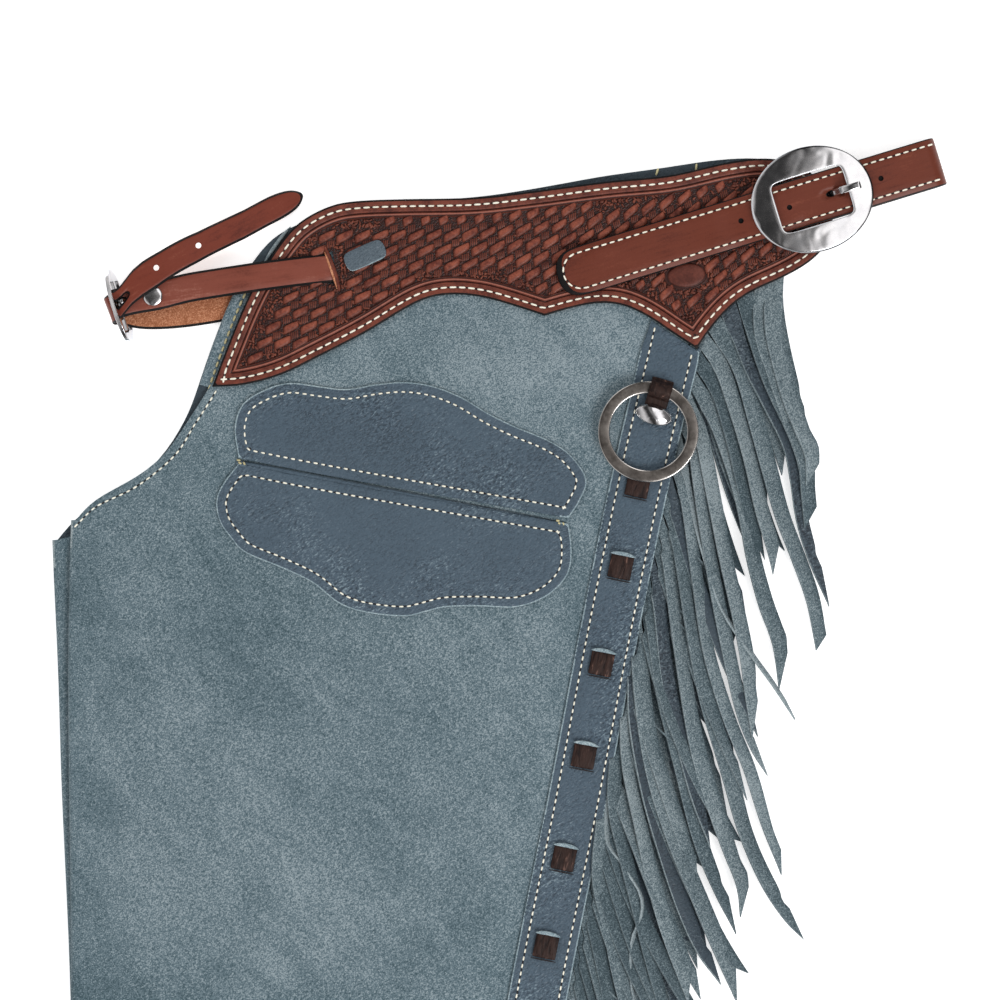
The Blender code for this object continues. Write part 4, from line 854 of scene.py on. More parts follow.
# ---- The fringe ----
# Two combs of strands, one to each leg, cut from one long strip of suede and sewn into the outer seam
# under the band. The strands trail down and back, some turned over, and end in slanted cuts.
YOKE_ROOT = ((189.4, 472.7), (161.4, 459.7), (148.1, 450.3), (136.0, 436.5), (130.0, 424.5))
STRAND_PITCH, STRIP_W, STRAND_T, ROOT_HALF = 13.6, 8.0, 1.3, 6.2
HEM_Y, TRIM_BELOW_HEM, LEAST_TURN, SHADE_DEPTH = -465.0, 42.0, 22.6, 1.8
root_line = smooth(YOKE_ROOT, 6.0)[:-1] + [p for p in beside(band_middle, BAND_W / 2 + 0.1) if p[1] < 405]
root_line = spaced(root_line, 3.0)
# The upper strands: number from the top, width, grain side up, shade, and the points that each one passes.
UPPER_STRANDS = (
    (0, 12.3, False, 0.08, ((177, 440), (181, 418), (188, 392), (196, 370), (202, 354), (202.5, 334))),
    (1, 11.5, False, 0.1, ((170, 434), (178, 408), (187, 380), (197, 350), (200, 326))),
    (2, 12.3, False, -0.12, ((167, 429), (177, 400), (189, 374), (198, 351), (200, 328), (202, 307))),
    (3, 8.5, True, 0.0, ((161, 413), (174, 387), (187, 361), (192, 338), (196, 312), (204, 285),
     (216, 257))),
    (4, 11.1, False, 0.02, ((156, 410), (166, 377), (175, 344), (183, 315), (194, 286), (203, 260),
     (209, 228))),
    (5, 10.4, False, 0.16, ((144, 410), (155, 377), (163, 348), (170, 318), (177, 294), (181, 277))),
    (6, 11.1, False, -0.2, ((142, 395), (151, 365), (158, 335), (164, 305), (169, 280))),
    (7, 11.1, False, 0.06, ((140, 377), (151, 348), (159, 318), (164, 289), (172, 259), (181, 233),
     (185, 202))),
    (8, 9.8, False, 0.2, ((131, 364), (139, 325), (146, 289), (154, 254), (160, 224), (163, 198),
     (167, 170))),
    (9, 9.1, False, 0.14, ((126, 358), (132, 315), (139, 273), (148, 228), (157, 188), (166, 164),
     (176, 148))),
    (10, 3.9, False, 0.3, ((124, 325), (133, 286), (144, 254), (164, 224), (177, 206), (192, 183))),
    (11, 8.5, False, 0.14, ((121, 325), (128, 273), (135, 228), (148, 185), (162, 150), (173, 114),
     (185, 83))),
    (13, 11.1, False, -0.02, ((116, 299), (124, 247), (134, 198), (148, 150), (159, 110), (173, 78),
     (188, 55), (200, 43))),
    (14, 10.4, False, 0.1, ((110, 286), (117, 228), (127, 169), (138, 130), (149, 98), (157, 75),
     (159, 55))),
    (16, 9.1, True, 0.1, ((103, 260), (109, 208), (118, 169), (128, 130), (139, 101))),
    (17, 9.8, False, -0.1, ((99, 247), (105, 202), (118, 150), (129, 107), (142, 73), (156, 45))),
    (19, 12.3, False, 0.06, ((92, 202), (100, 150), (114, 104), (130, 65), (144, 32), (158, 0))),
    (20, 10.4, True, 0.15, ((88, 182), (96, 136), (107, 98), (119, 62), (131, 34), (146, 13))),
    (22, 9.8, False, 0.16, ((83, 156), (92, 110), (101, 72), (112, 36), (125, 0))),
    (24, 9.8, False, -0.12, ((74, 130), (82, 91), (92, 52), (101, 16), (109, -13))),
    (25, 3.9, False, 0.3, ((69, 110), (79, 90), (91, 70), (92, 55), (86, 39), (86, 10), (92, -16))),
    (27, 10.4, False, 0.04, ((64, 84), (72, 46), (79, 10), (87, -23))))


def ease(t):
    t = min(max(t, 0.0), 1.0)
    return t * t * (3 - 2 * t)


def left_strand(k):
    """Strand k's heading at its root and at its tip, in degrees, and its length."""
    return (4 + 8 * ease(k / 7) + math.sin(0.5 * k), 17 + 15 * ease(k / 8) + 3.5 * math.sin(0.55 * k),
            (118, 140, 150, 140, 165)[k] if k < 5 else 168 + 22 * math.sin(2.3 * k))


def right_strand(k):
    return (6 + 4 * ease(k / 7), 18 + 8 * ease(k / 11) + 2 * math.sin(0.45 * k),
            (104, 112, 124)[k] if k < 3 else 152 + 14 * math.sin(1.7 * k))


def fringe(name, node, line, rest, shape_of, seed, width, grain_share, upper=()):
    """A comb of strands, each a ribbon with its own length, width, wave, roll and cut."""
    chance = random.Random(seed)
    upper = {number: row for number, *row in upper}
    roots, reach = np.array(line), reach_along(line)
    comb = solid_of(node)
    work = bmesh.new()
    shade = work.verts.layers.float.new("shade")
    columns = (-1.0, -0.91, -0.45, 0.0, 0.45, 0.91, 1.0)
    half_t, half_ring = STRAND_T / 2, len(columns)

    def root(distance):
        """A place on the seam, and the way the seam runs there."""
        place = np.array([np.interp(distance, reach, roots[:, i]) for i in (0, 1)])
        ahead = np.array([np.interp(distance + 1, reach, roots[:, i]) for i in (0, 1)]) - place
        return place, ahead / max(np.linalg.norm(ahead), 1e-6)

    def comb_floor(place, ahead, inward):
        """The height of the strip's lower side at a place, a little inside its edge."""
        x, y = place + np.array([ahead[1], -ahead[0]]) * inward
        hit = comb.ray_cast(placed(x, y, 60), Vector((0, 0, -1)))[0]
        return (hit.z / MM if hit else rest + STRAND_T) - STRAND_T

    for k in range(int((reach[-1] - 0.7) / STRAND_PITCH)):
        place, ahead = root((k + 0.5) * STRAND_PITCH + 5.0 * (k == 0))
        root_z = comb_floor(place, ahead, 3.0)
        seam_slant = math.degrees(math.atan2(-ahead[0], -ahead[1]))
        start, end, full = shape_of(k)
        start = max(start, LEAST_TURN - seam_slant) + chance.uniform(-1.5, 1.5)
        end += chance.uniform(-9.0, 4.0)
        to_trim = (place[1] - HEM_Y + TRIM_BELOW_HEM) / math.cos(math.radians((start + end) / 2))
        length = min(full * chance.uniform(0.9, 1.08), to_trim)
        wide, tone = width * chance.uniform(0.8, 1.12), chance.uniform(-0.32, 0.16)
        wave, phase = chance.uniform(0.5, 4.5), chance.uniform(0, 6.3)
        roll_wave, roll_phase = chance.uniform(4, 14), chance.uniform(0, 6.3)
        grain_up = chance.random() < grain_share * (k > 4)
        turned_over = chance.random() < 0.1 and length > 120
        slant, over = chance.choice((-0.6, 1, 1, 1)) * chance.uniform(13, 26), 0.0
        if k in upper:
            wide, grain_up, tone, passes = upper[k]
            tone *= SHADE_DEPTH
            path = spaced(smooth([tuple(place)] + list(passes), 3.0), 6.0)
            turned_over, over, slant = False, 1.0, abs(slant)
        else:
            path, point = [tuple(place)], place.copy()
            steps = max(10, int(length / 9))
            for i in range(1, steps + 1):
                s = length * i / steps
                sway = wave * math.sin(phase + s / 34) * ease(s / 40)
                here = math.radians(start + (end - start) * s / full + sway)
                point = point + np.array([math.sin(here), -math.cos(here)]) * length / steps
                path.append(tuple(point))
        path = np.array(path)
        length = np.linalg.norm(np.diff(path, axis=0), axis=1).sum()
        slant = math.copysign(min(abs(slant), length / 4), slant)
        grid = []
        for i, (point, travel) in enumerate(zip(path, directions(path))):
            s = length * i / (len(path) - 1)
            turn_share = ease((s - 8) / 14)
            right = np.array([-travel[1], travel[0]])
            across = -ahead * (1 - turn_share) + right * turn_share
            across /= np.linalg.norm(across)
            roll = 24 * ease((s - 6) / 22) + roll_wave * math.sin(roll_phase + s / 27) * ease((s - 20) / 40)
            if wide < 5:
                roll += 40 * ease((s - 30) / 60)
            if turned_over:
                roll += 178 * ease((s / length - 0.35) / 0.28)
            half = wide / 2 * (1 - 0.2 * ease((s - length + 60) / 60))
            if turn_share < 1:
                half = ROOT_HALF + (half - ROOT_HALF) * turn_share
            rise, flat = -math.sin(math.radians(roll)), math.cos(math.radians(roll))
            middle = root_z + (rest + over - root_z) * ease(s / 22) + half * abs(rise) + half_t
            ring = []
            for side in (1, -1):
                for c in columns[::side]:
                    back = abs(slant) * (c * math.copysign(1, slant) + 1) / 2 * ease((s - length + 50) / 50)
                    x, y = point + across * (c * half * flat - half_t * side * rise) - travel * back
                    z = middle + c * half * rise + half_t * side * flat + 0.35 * (1 - c * c) * flat
                    vert = work.verts.new(placed(x, y, max(z, 0.25)))
                    # Each strand's own tone, with painted shade on the side tucked under its neighbour and a
                    # little painted light on its raised side.
                    vert[shade] = tone + (0.06 * max(-c, 0) - 0.42 * max(c, 0) ** 2) * ease((s - 15) / 30)
                    ring.append(vert)
            grid.append(ring)
        # The ring runs over the upper side, down one cut edge, and back under the strand.
        for i, side in enumerate(skin(work, grid, flipped=True)):
            i %= 2 * half_ring
            if i in (0, 2 * half_ring - 1):
                side.material_index = 1
            elif i != half_ring - 1 and (i > half_ring - 1) != grain_up:
                side.material_index = 2
        work.faces.new(grid[0][::-1])
        work.faces.new(grid[-1]).material_index = 1
    strip = []
    for distance in np.arange(0, reach[-1], STRAND_PITCH / 2):
        place, ahead = root(distance)
        inner = place + np.array([ahead[1], -ahead[0]]) * STRIP_W
        z, inner_z = comb_floor(place, ahead, 2.0), comb_floor(place, ahead, STRIP_W - 1.0)
        strip.append([work.verts.new(placed(*p)) for p in (
            (*inner, inner_z), (*inner, inner_z + STRAND_T), (*place, z + STRAND_T), (*place, z))])
    skin(work, strip)
    work.faces.new(strip[0])
    work.faces.new(strip[-1][::-1])
    bmesh.ops.recalc_face_normals(work, faces=work.faces)
    piece = shown(name, as_mesh(work, name), strand_suede, strand_edge, strand_grain)
    piece.data.set_sharp_from_angle(angle=math.radians(60))
    return dress(piece, node)


strand_suede = suede_finish("strand_suede", dye(54, 67, 73), dye(88, 102, 108), dye(136, 147, 151), "shade")
strand_edge = suede_finish("strand_cut_edge", dye(78, 91, 97), dye(108, 121, 126), dye(150, 161, 165),
                           "shade")
strand_grain = grain_finish("strand_grain", dye(36, 44, 52), dye(58, 70, 79), dye(98, 110, 118))
left_fringe = fringe("left_fringe_suede", "left_fringe", root_line, 6.2, left_strand, 11, 11.0, 0.08,
                     UPPER_STRANDS)
right_fringe = fringe("right_fringe_suede", "right_fringe", [(x - 2.0, y) for x, y in root_line], 0.35,
                      right_strand, 23, 11.4, 0.45)

# ---- The yokes ----
# Each yoke is one piece of 3 mm brown tooling leather, sewn over the leg's waist. Inside the seam run two
# cut grooves, then a stamped basketweave whose edge is filled with small odd marks. One oval stays plain.
SEAM_IN, CREASE, GROOVES, BEAD, FIELD_IN = 4.6, 6.6, (8.4, 10.9), 9.8, 11.3
BLANK_CENTRE, BLANK_HALF, BLANK_TURN = (120.9, 470.6), (12.5, 7.8), 6.0
SLIT_CENTRE, SLIT_NARROWER = (-108.8, 475.5), 1.9
YOKE_PATTERN = (
    ((-186.5, 398.5), (-178.5, 420), (-164, 455), (-149.5, 481), (-132.5, 503), (-111, 515.3), (-93, 518.8),
     (-63.5, 520), (-17.5, 521), (19.5, 525), (69, 531.5), (110, 535.5), (145.5, 543.5), (169.5, 546.5),
     (188.5, 544), (205, 534.5), (215, 517), (215, 499), (208, 486), (196.5, 476.5), (181.5, 468.5),
     (162, 459.5), (149, 450), (136.5, 436), (127.5, 423)),
    ((127.5, 423), (110.5, 434), (99, 442), (86, 449), (74, 452.5), (60.5, 452.5), (44, 449), (29, 444.5)),
    ((29, 444.5), (2.5, 453), (-13.5, 457), (-30.5, 458.5), (-45.5, 456.5), (-60, 450), (-86.5, 434),
     (-117.5, 418), (-142.5, 406), (-167.5, 399.5), (-186.5, 398.5)))


def eased_run(points, reach):
    """An evenly spaced line with its small bends smoothed out, its ends held."""
    line = np.array(points)
    for _ in range(max(1, round(reach * reach))):
        line[1:-1] = line[1:-1] * 0.5 + (line[:-2] + line[2:]) * 0.25
    return [tuple(p) for p in line]


yoke_rim = []
for run in YOKE_PATTERN:
    yoke_rim += eased_run(spaced(smooth(run, 1.6), 1.6), 4.0)[:-1]
yoke_rim = yoke_rim[::-1]


def narrowed_slit(x, y):
    return x - SLIT_NARROWER * (x > SLIT_CENTRE[0]), y


def hollow(distance, centre, width):
    return np.exp(-((distance - centre) / width) ** 2)


def tooling(x, y, distance):
    """The yoke's relief: a sewing channel, two grooves with a bead between, and the lowered field."""
    field = np.clip((distance - FIELD_IN) / 0.7, 0, 1)
    change = (-0.35 * hollow(distance, SEAM_IN, 0.9) - 0.8 * hollow(distance, GROOVES[0], 0.5)
              + 0.25 * hollow(distance, BEAD, 0.5) - 0.3 * hollow(distance, GROOVES[1], 0.4) - 0.95 * field)
    return change, field


def tooled_finish(name, low, middle, high, with_grooves=True):
    """Tooling leather, dyed brown and wiped back, so that the cut lines stay dark and the tops shine. The
    raised bead between the grooves has a painted highlight.
    """
    finish = Finish(name, Specular_IOR_Level=0.25)
    where = finish.place()
    slow = finish.cloud(where, 6, 4.0, 0.65)
    pores = finish.cloud(where, 1.1, 3.0, 0.7)
    tone = (slow - 0.5) * 1.9 + (pores - 0.5) * 1.3 + 0.5
    colour = finish.blend(tone.within(0.0, 0.9), middle, high)
    if with_grooves:
        rim, field = finish.read("rim"), finish.read("low")
        cuts_and_shaded_chamfer = (rim.about(GROOVES[0], 0.8) * 0.9 + rim.about(GROOVES[1], 0.8) * 0.9
                + rim.about(CREASE, 0.45) * 0.4)
        channel = rim.about(SEAM_IN, 1.3) * 0.55
        marks = finish.cells(finish.stretched(where, 1.8, 30), 1.0)
        mottled = field * (0.8 + (0.5 - marks) * 0.9 + (pores - 0.5) * 1.4)
        # Painted highlight along the raised bead between the two grooves.
        colour = finish.blend(rim.about(BEAD, 0.55) * 0.8, colour, dye(166, 106, 90))
        colour = finish.blend((cuts_and_shaded_chamfer + channel + mottled).within(0.0, 1.0), colour, low)
        height = pores * 0.4 - marks * field * 1.4
    else:
        # Darkened by "low": dark cuts and recesses, and on the stamped bars also painted shadow.
        colour = finish.blend(finish.read("low") * 0.85, colour, low)
        height = pores * 0.4
    return finish.feed(Base_Color=colour, Normal=finish.bump(height, 0.5, 0.6),
                       Roughness=0.44 + (tone - 0.5) * -0.2)


def edge_finish(name, dark, middle):
    """A cut edge that is dyed nearly black and burnished."""
    finish = Finish(name, Roughness=0.5, Specular_IOR_Level=0.12)
    where = finish.place()
    worn = finish.cloud(where, 6, 3.0, 0.65)
    return finish.feed(Base_Color=finish.blend(worn.within(0.5, 0.8), dark, middle),
                       Normal=finish.bump(worn, 0.3, 0.4))


TOOLED_LOW, TOOLED_MIDDLE, TOOLED_HIGH = dye(33, 14, 12), dye(76, 34, 26), dye(116, 60, 46)
tooled = tooled_finish("tooled_leather", TOOLED_LOW, TOOLED_MIDDLE, TOOLED_HIGH)
stamped = tooled_finish("stamped_leather", TOOLED_LOW, dye(86, 37, 28), dye(140, 75, 57), False)
black_edge = edge_finish("burnished_edge", dye(20, 19, 20), dye(44, 34, 31))

GROOVE_RINGS = (0.5, 1.2, 3.3, 4.0, 4.6, 5.2, 7.4, 7.9, 8.4, 8.9, 9.4, 9.8, 10.2, 10.6, 10.9, 11.3, 12.0,
                12.8)
yoke, _, near_yoke = fine_sheet("left_yoke_leather", "left_yoke", 2.4, tooled, black_edge, rings=GROOVE_RINGS,
                                relief=tooling, rim_step=1.6, outline=yoke_rim, slit=narrowed_slit,
                                edge_width=1.3)
dress(yoke, "left_yoke")
on_yoke = above(yoke)
line = inset(yoke_rim, SEAM_IN, near_yoke, 1.5)
yoke_seam = [laid(line + line[:1], on_yoke)]
lining_line = smooth(((-153.5, 478.0), (-148.0, 487.0), (-141.5, 496.0), (-136.0, 502.5)), 2.0)
ribbons("left_waist_lining", [[(x, y, on_right_leg(x, y, 2.0) + 0.2) for x, y in lining_line]], 2.6, 1.4,
        suede_edge, taper=0.8)

under_yoke, *_ = fine_sheet("right_yoke_leather", "right_yoke", 6.0, tooled, black_edge,
                            rings=(0.5, 1.2, 4.9), rim_step=3.0)
dress(under_yoke, "right_yoke")


def pillow(length, width, height, slope):
    """One stamped bar: a leaning pillow, blunt at its lower end and pointed at its upper one. Its rim is
    marked dark as a cut, and its lower side and lower end darker still as painted shadow.
    """
    rings = []
    for v in (-1.0, -0.86, -0.45, 0.0, 0.45, 0.86, 1.0):
        row = []
        for u in (-1.0, -0.9, -0.6, -0.1, 0.4, 0.8, 1.0):
            across = v * width / 2 * (1 - 0.22 * max(u, 0) ** 2 - 0.1 * u ** 8)
            crown = (1 - abs(v) ** 7) ** 0.7 * (1 - abs(u) ** 9) ** 0.6
            z = height * crown + 0.12 * height * v * abs(v) - 0.3
            # How dark a point is painted: the rim as a dark cut, the lower side and lower end as painted
            # shadow.
            dark = (1.0 if max(abs(u), abs(v)) > 0.98 else 0.6 if v < -0.8 or u < -0.85
                    else 0.3 if v < -0.4 else 0.0)
            row.append((u * length / 2 * (1 - 0.05 * v ** 4) + across * slope, across, z, dark))
        rings.append(row)
    return stamp("bar", rings, closed=False)


def ribbed(length, width, height):
    """The sunk crossing between bars: four fine ridges."""
    rings = []
    for v in (-1.0, -0.75, 0.75, 1.0):
        ridges = [i % 2 and abs(v) < 0.9 for i in range(9)]
        rings.append([(u * length / 2 + v * 0.6, v * width / 2, (height if ridge else 0.0) - 0.1,
                       0.0 if ridge else 1.0) for u, ridge in zip(np.linspace(-1, 1, 9), ridges)])
    return stamp("ribbed", rings, closed=False)


BAR_PITCH, ROW_PITCH, ROW_SHIFT, BAR_LENGTH, BAR_WIDTH, BAR_LEAN = 11.6, 9.8, 5.4, 12.4, 5.3, 25
WEAVE_START, CROSSING_OFFSET, BAR_ROOM, BLANK_RIM = (-19.5, 497.3), (2.4, -4.9), 6.2, 3.9
ROW_CLIMB = ((-140, 0), (-40, 1), (10, 6), (45, 7), (75, 14), (120, 16.5), (200, 16))  # x, degrees


def row_lift(x):
    """How far a row has climbed at x: level at the front, then steeper round the hip."""
    turn = np.interp(np.linspace(WEAVE_START[0], x, 40), *zip(*ROW_CLIMB))
    return float(np.tan(np.radians(turn)).mean() * (x - WEAVE_START[0]))


def in_the_way(x, y, round_blank, round_slit):
    """Whether a place lies on the plain oval or its margins, or within half sizes of the slit's middle."""
    blank = math.hypot((x - BLANK_CENTRE[0]) / (BLANK_HALF[0] + round_blank[0]),
                       (y - BLANK_CENTRE[1]) / (BLANK_HALF[1] + round_blank[1]))
    slit = max(abs(x - SLIT_CENTRE[0]) / round_slit[0], abs(y - SLIT_CENTRE[1]) / round_slit[1])
    return blank < 1 or slit < 1


def bar_that_fits(x, y, dx, dy):
    """The longest bar, as a share of a whole one, that stays inside the field, and its ends."""
    for share in (1.0, 0.8, 0.6):
        ends = [(x + s * dx * BAR_LENGTH / 2 * share, y + s * dy * BAR_LENGTH / 2 * share) for s in (-1, 1)]
        if all(near_yoke(*place) > FIELD_IN + 0.9 for place in ends + [(x, y)]):
            return share, ends
    return None, None


chance = random.Random(4)
bars, crossings, fillers = [], [], []
for row in range(-16, 14):
    for column in range(-26, 30):
        x = WEAVE_START[0] + column * BAR_PITCH - (row % 2) * ROW_SHIFT
        y = WEAVE_START[1] + row_lift(x) + row * ROW_PITCH
        if near_yoke(x, y) < FIELD_IN or on_yoke(x, y, None) is None:
            continue
        heading = math.degrees(math.atan(row_lift(x + 1) - row_lift(x))) + BAR_LEAN
        share, ends = bar_that_fits(x, y, math.cos(math.radians(heading)), math.sin(math.radians(heading)))
        if share is None or in_the_way(x, y, (6.0, 4.6), (8.5, 13.5)):
            continue
        tilt = math.degrees(math.atan2(on_yoke(*ends[1]) - on_yoke(*ends[0]), BAR_LENGTH * share))
        size = (share * chance.uniform(0.94, 1.04), chance.uniform(0.92, 1.06), chance.uniform(0.85, 1.1))
        bars.append(((x, y, on_yoke(x, y)), (0, -tilt, heading), size))
        cx, cy = x + CROSSING_OFFSET[0], y + CROSSING_OFFSET[1]
        if near_yoke(cx, cy) > FIELD_IN + 1.6:
            turn = (0, 0, heading - 12 + chance.uniform(-6, 6))
            crossings.append(((cx, cy, on_yoke(cx, cy)), turn, (1, 1, 1)))
near_bars = distance_to([place[:2] for place, _, _ in bars])
low, high = np.array(yoke_rim).min(0), np.array(yoke_rim).max(0)
for y in np.arange(low[1], high[1], 2.1):
    for x in np.arange(low[0], high[0], 2.4):
        fx, fy = x + chance.uniform(-0.8, 0.8), y + chance.uniform(-0.8, 0.8)
        if (near_yoke(fx, fy) < FIELD_IN + 0.8 or on_yoke(fx, fy, None) is None
                or in_the_way(fx, fy, (1.6, 1.6), (5.5, 12)) or near_bars(fx, fy) < BAR_ROOM):
            continue
        turn = (0, 0, chance.uniform(0, 180))
        fillers.append(((fx, fy, on_yoke(fx, fy)), turn,
                        (chance.uniform(0.14, 0.3), chance.uniform(0.2, 0.4), chance.uniform(0.5, 0.9))))
for degrees in range(0, 360, 15):
    angle = math.radians(degrees)
    x = BLANK_CENTRE[0] + (BLANK_HALF[0] + BLANK_RIM) * math.cos(angle)
    y = BLANK_CENTRE[1] + (BLANK_HALF[1] + BLANK_RIM) * math.sin(angle)
    if near_yoke(x, y) > FIELD_IN + 1.2 and on_yoke(x, y, None) is not None:
        fillers.append(((x, y, on_yoke(x, y)), (0, 0, degrees + 60), (0.3, 0.42, 0.9)))
bar = pillow(BAR_LENGTH, BAR_WIDTH, 1.7, 0.45)
crossing_leather = tooled_finish("crossing_leather", dye(28, 13, 12), dye(84, 38, 29), dye(126, 66, 50),
                                 False)
edging_leather = tooled_finish("edging_leather", TOOLED_LOW, dye(66, 30, 23), dye(122, 66, 50), False)
weave, ribs, edging = (
    arranged(f"left_yoke_{name}", points_mesh(mesh_name, rows), at_points, "tooled_leather", Piece=piece,
             Finish=finish)
    for name, mesh_name, rows, piece, finish in (
        ("basketweave", "bars", bars, bar, stamped),
        ("crossings", "crossings", crossings, ribbed(5.2, 4.8, 0.9), crossing_leather),
        ("edging", "edging", fillers, bar, edging_leather)))


def turned(centre, along, across, heading):
    """A place along and across a heading, from a centre."""
    c, s = math.cos(math.radians(heading)), math.sin(math.radians(heading))
    return (centre[0] + along * c - across * s, centre[1] + along * s + across * c)


def blank_oval():
    """The plain oval: a low smooth dome inside a pressed ring."""
    work = bmesh.new()
    rings = []
    floor = on_yoke(*BLANK_CENTRE)
    low = work.verts.layers.float.new("low")
    # Share of the oval's size, height, how dark.
    for share, z, dark in ((1.2, -0.1, 1.0), (1.13, 0.5, 0.75), (1.06, 0.1, 1.0), (1.0, 0.15, 1.0),
                           (0.95, 0.75, 0.4), (0.88, 1.1, 0.12), (0.6, 1.25, 0.1), (0.3, 1.3, 0.1)):
        ring = []
        for i in range(48):
            a = 2 * math.pi * i / 48
            u, v = BLANK_HALF[0] * share * math.cos(a), BLANK_HALF[1] * share * math.sin(a)
            x, y = turned(BLANK_CENTRE, u, v, BLANK_TURN)
            ring.append(work.verts.new(placed(x, y, on_yoke(x, y, floor) + z)))
            ring[-1][low] = dark
        rings.append(ring)
    skin(work, rings, flipped=True)
    work.faces.new(rings[-1])
    blank_leather = tooled_finish("blank_leather", TOOLED_LOW, dye(76, 35, 27), dye(104, 54, 43), False)
    return dress(shown("left_yoke_blank", as_mesh(work, "left_yoke_blank"), blank_leather))


blank = blank_oval()

# ---- The belt ----
# A 32 mm strap of two layers sewn round its edge, which runs from the under yoke, round the wearer's back
# and through the oval buckle. The chape is a short strap, wrapped round the buckle's bar.
BELT_HEADING, BAR_PLACE, BELT_W = 17.0, (186.0, 514.5), 31.75


def strap_finish(name, low, middle, high, turn):
    """Bridle leather: waxed, with faint marks along the strap."""
    finish = Finish(name, Specular_IOR_Level=0.22)
    where = finish.place()
    streak = finish.cloud(finish.stretched(where, 9.0, turn), 1.6, 4.0, 0.65)
    slow = finish.cloud(where, 30, 3.0)
    pores = finish.cloud(where, 0.9, 2.0, 0.7)
    tone = (streak - 0.5) * 1.0 + (slow - 0.5) * 1.0 + (pores - 0.5) * 0.4 + 0.5
    colour = finish.shaded(tone, (low, middle, high), (0.0, 0.5), (0.55, 1.1))
    return finish.feed(Base_Color=colour, Normal=finish.bump(streak * 0.5 + pores * 0.5, 0.25, 0.4),
                       Roughness=0.4 + (slow - 0.5) * 0.3)


belt_leather = strap_finish("belt_leather", dye(76, 33, 24), dye(101, 48, 34), dye(130, 70, 52), BELT_HEADING)
belt = refined("belt_leather", "belt", 3.0, belt_leather, black_edge, worn=0.85)
chape = refined("belt_chape_leather", "belt_chape", 1.6, belt_leather, black_edge, worn=0.5)
dress(belt, "belt")
dress(chape, "belt_chape")
on_belt = above(belt)


def punched(piece, holes, radius):
    """Cuts round holes, each from a row of (x, y, lowest z, highest z)."""
    work = bmesh.new()
    for x, y, *ends in holes:
        rings = [[work.verts.new(placed(x + radius * math.cos(a), y + radius * math.sin(a), z))
                  for a in (math.radians(20 * k) for k in range(18))] for z in ends]
        work.faces.new(rings[0][::-1])
        work.faces.new(rings[1])
        skin(work, rings, flipped=True)
    for side in work.faces:
        side.material_index = 1
    punch = shown("punch", as_mesh(work, "punch", smooth=False), *piece.data.materials)
    cut = piece.modifiers.new("holes", "BOOLEAN")
    cut.operation, cut.solver, cut.object = "DIFFERENCE", "EXACT", punch
    settled(piece)
    bpy.data.objects.remove(punch)


BELT_HOLES = ((156.0, 505.7), (187.2, 514.2), (246.4, 533.0))
punched(belt, [(x, y, on_belt(x, y) - 1.7, on_belt(x, y) + 9) for x, y in BELT_HOLES], 1.75)
BELT_TIP, BELT_SEAM_IN, SEAM_FROM, SEAM_STEP = -155.5, 4.3, 100, 2.5
seam_across = BELT_W / 2 - BELT_SEAM_IN
turn_centre = BELT_TIP + BELT_SEAM_IN + seam_across
seam_path = [(along, seam_across) for along in np.arange(SEAM_FROM, turn_centre, -SEAM_STEP)]
seam_path += [(turn_centre - seam_across * math.sin(t), seam_across * math.cos(t))
              for t in np.linspace(0, math.pi, 18)]
seam_path += [(along, -seam_across) for along in np.arange(turn_centre, SEAM_FROM, SEAM_STEP)]
belt_seam = [laid([turned(BAR_PLACE, *p, BELT_HEADING) for p in seam_path], on_belt, trimmed=True)]

chrome_finish = Finish("polished_metal", Metallic=1.0, Roughness=0.09)
where = chrome_finish.place()
haze = chrome_finish.cloud(where, 8, 4.0, 0.7)
scratches = chrome_finish.cloud(chrome_finish.stretched(where, 20.0, 120), 0.6, 2.0)
sway = chrome_finish.cloud(where, 11, 1.0, 0.4, 1.0)
shine = chrome_finish.blend(haze.within(0.3, 0.8), dye(206, 209, 214), dye(236, 237, 240))
# Painted shade and painted highlight: the buckle's outer chamfer is darkened, and parts of it are made pale
# and less metallic as a painted glint.
shine = chrome_finish.blend(chrome_finish.read("cut"), shine, dye(60, 62, 66))
chrome = chrome_finish.feed(
    Base_Color=shine, Metallic=1 - chrome_finish.read("glint") * 0.85, Roughness=0.06 + haze * 0.1,
    Normal=chrome_finish.bump(scratches, 0.02, 0.12, chrome_finish.bump(sway, 0.45, 1.0)))


def ring_mesh(name, sections):
    """A closed ring of sections, each joined to the next."""
    work = bmesh.new()
    made = [[work.verts.new(placed(*p)) for p in section] for section in sections]
    skin(work, made + made[:1])
    bmesh.ops.recalc_face_normals(work, faces=work.faces)
    return as_mesh(work, name)


def plated(node, thickness, **settings):
    return refined(f"{node}_metal", node, thickness, chrome, chrome, **settings)


BUCKLE_CENTRE, BUCKLE_HALF, WINDOW_HALF = (201.9, 519.4), (40.0, 34.2), (24.0, 17.0)
PLATE_TOP, PLATE_FALL, PAINTED_GLINT_HEADING = 4.8, 2.4, 195
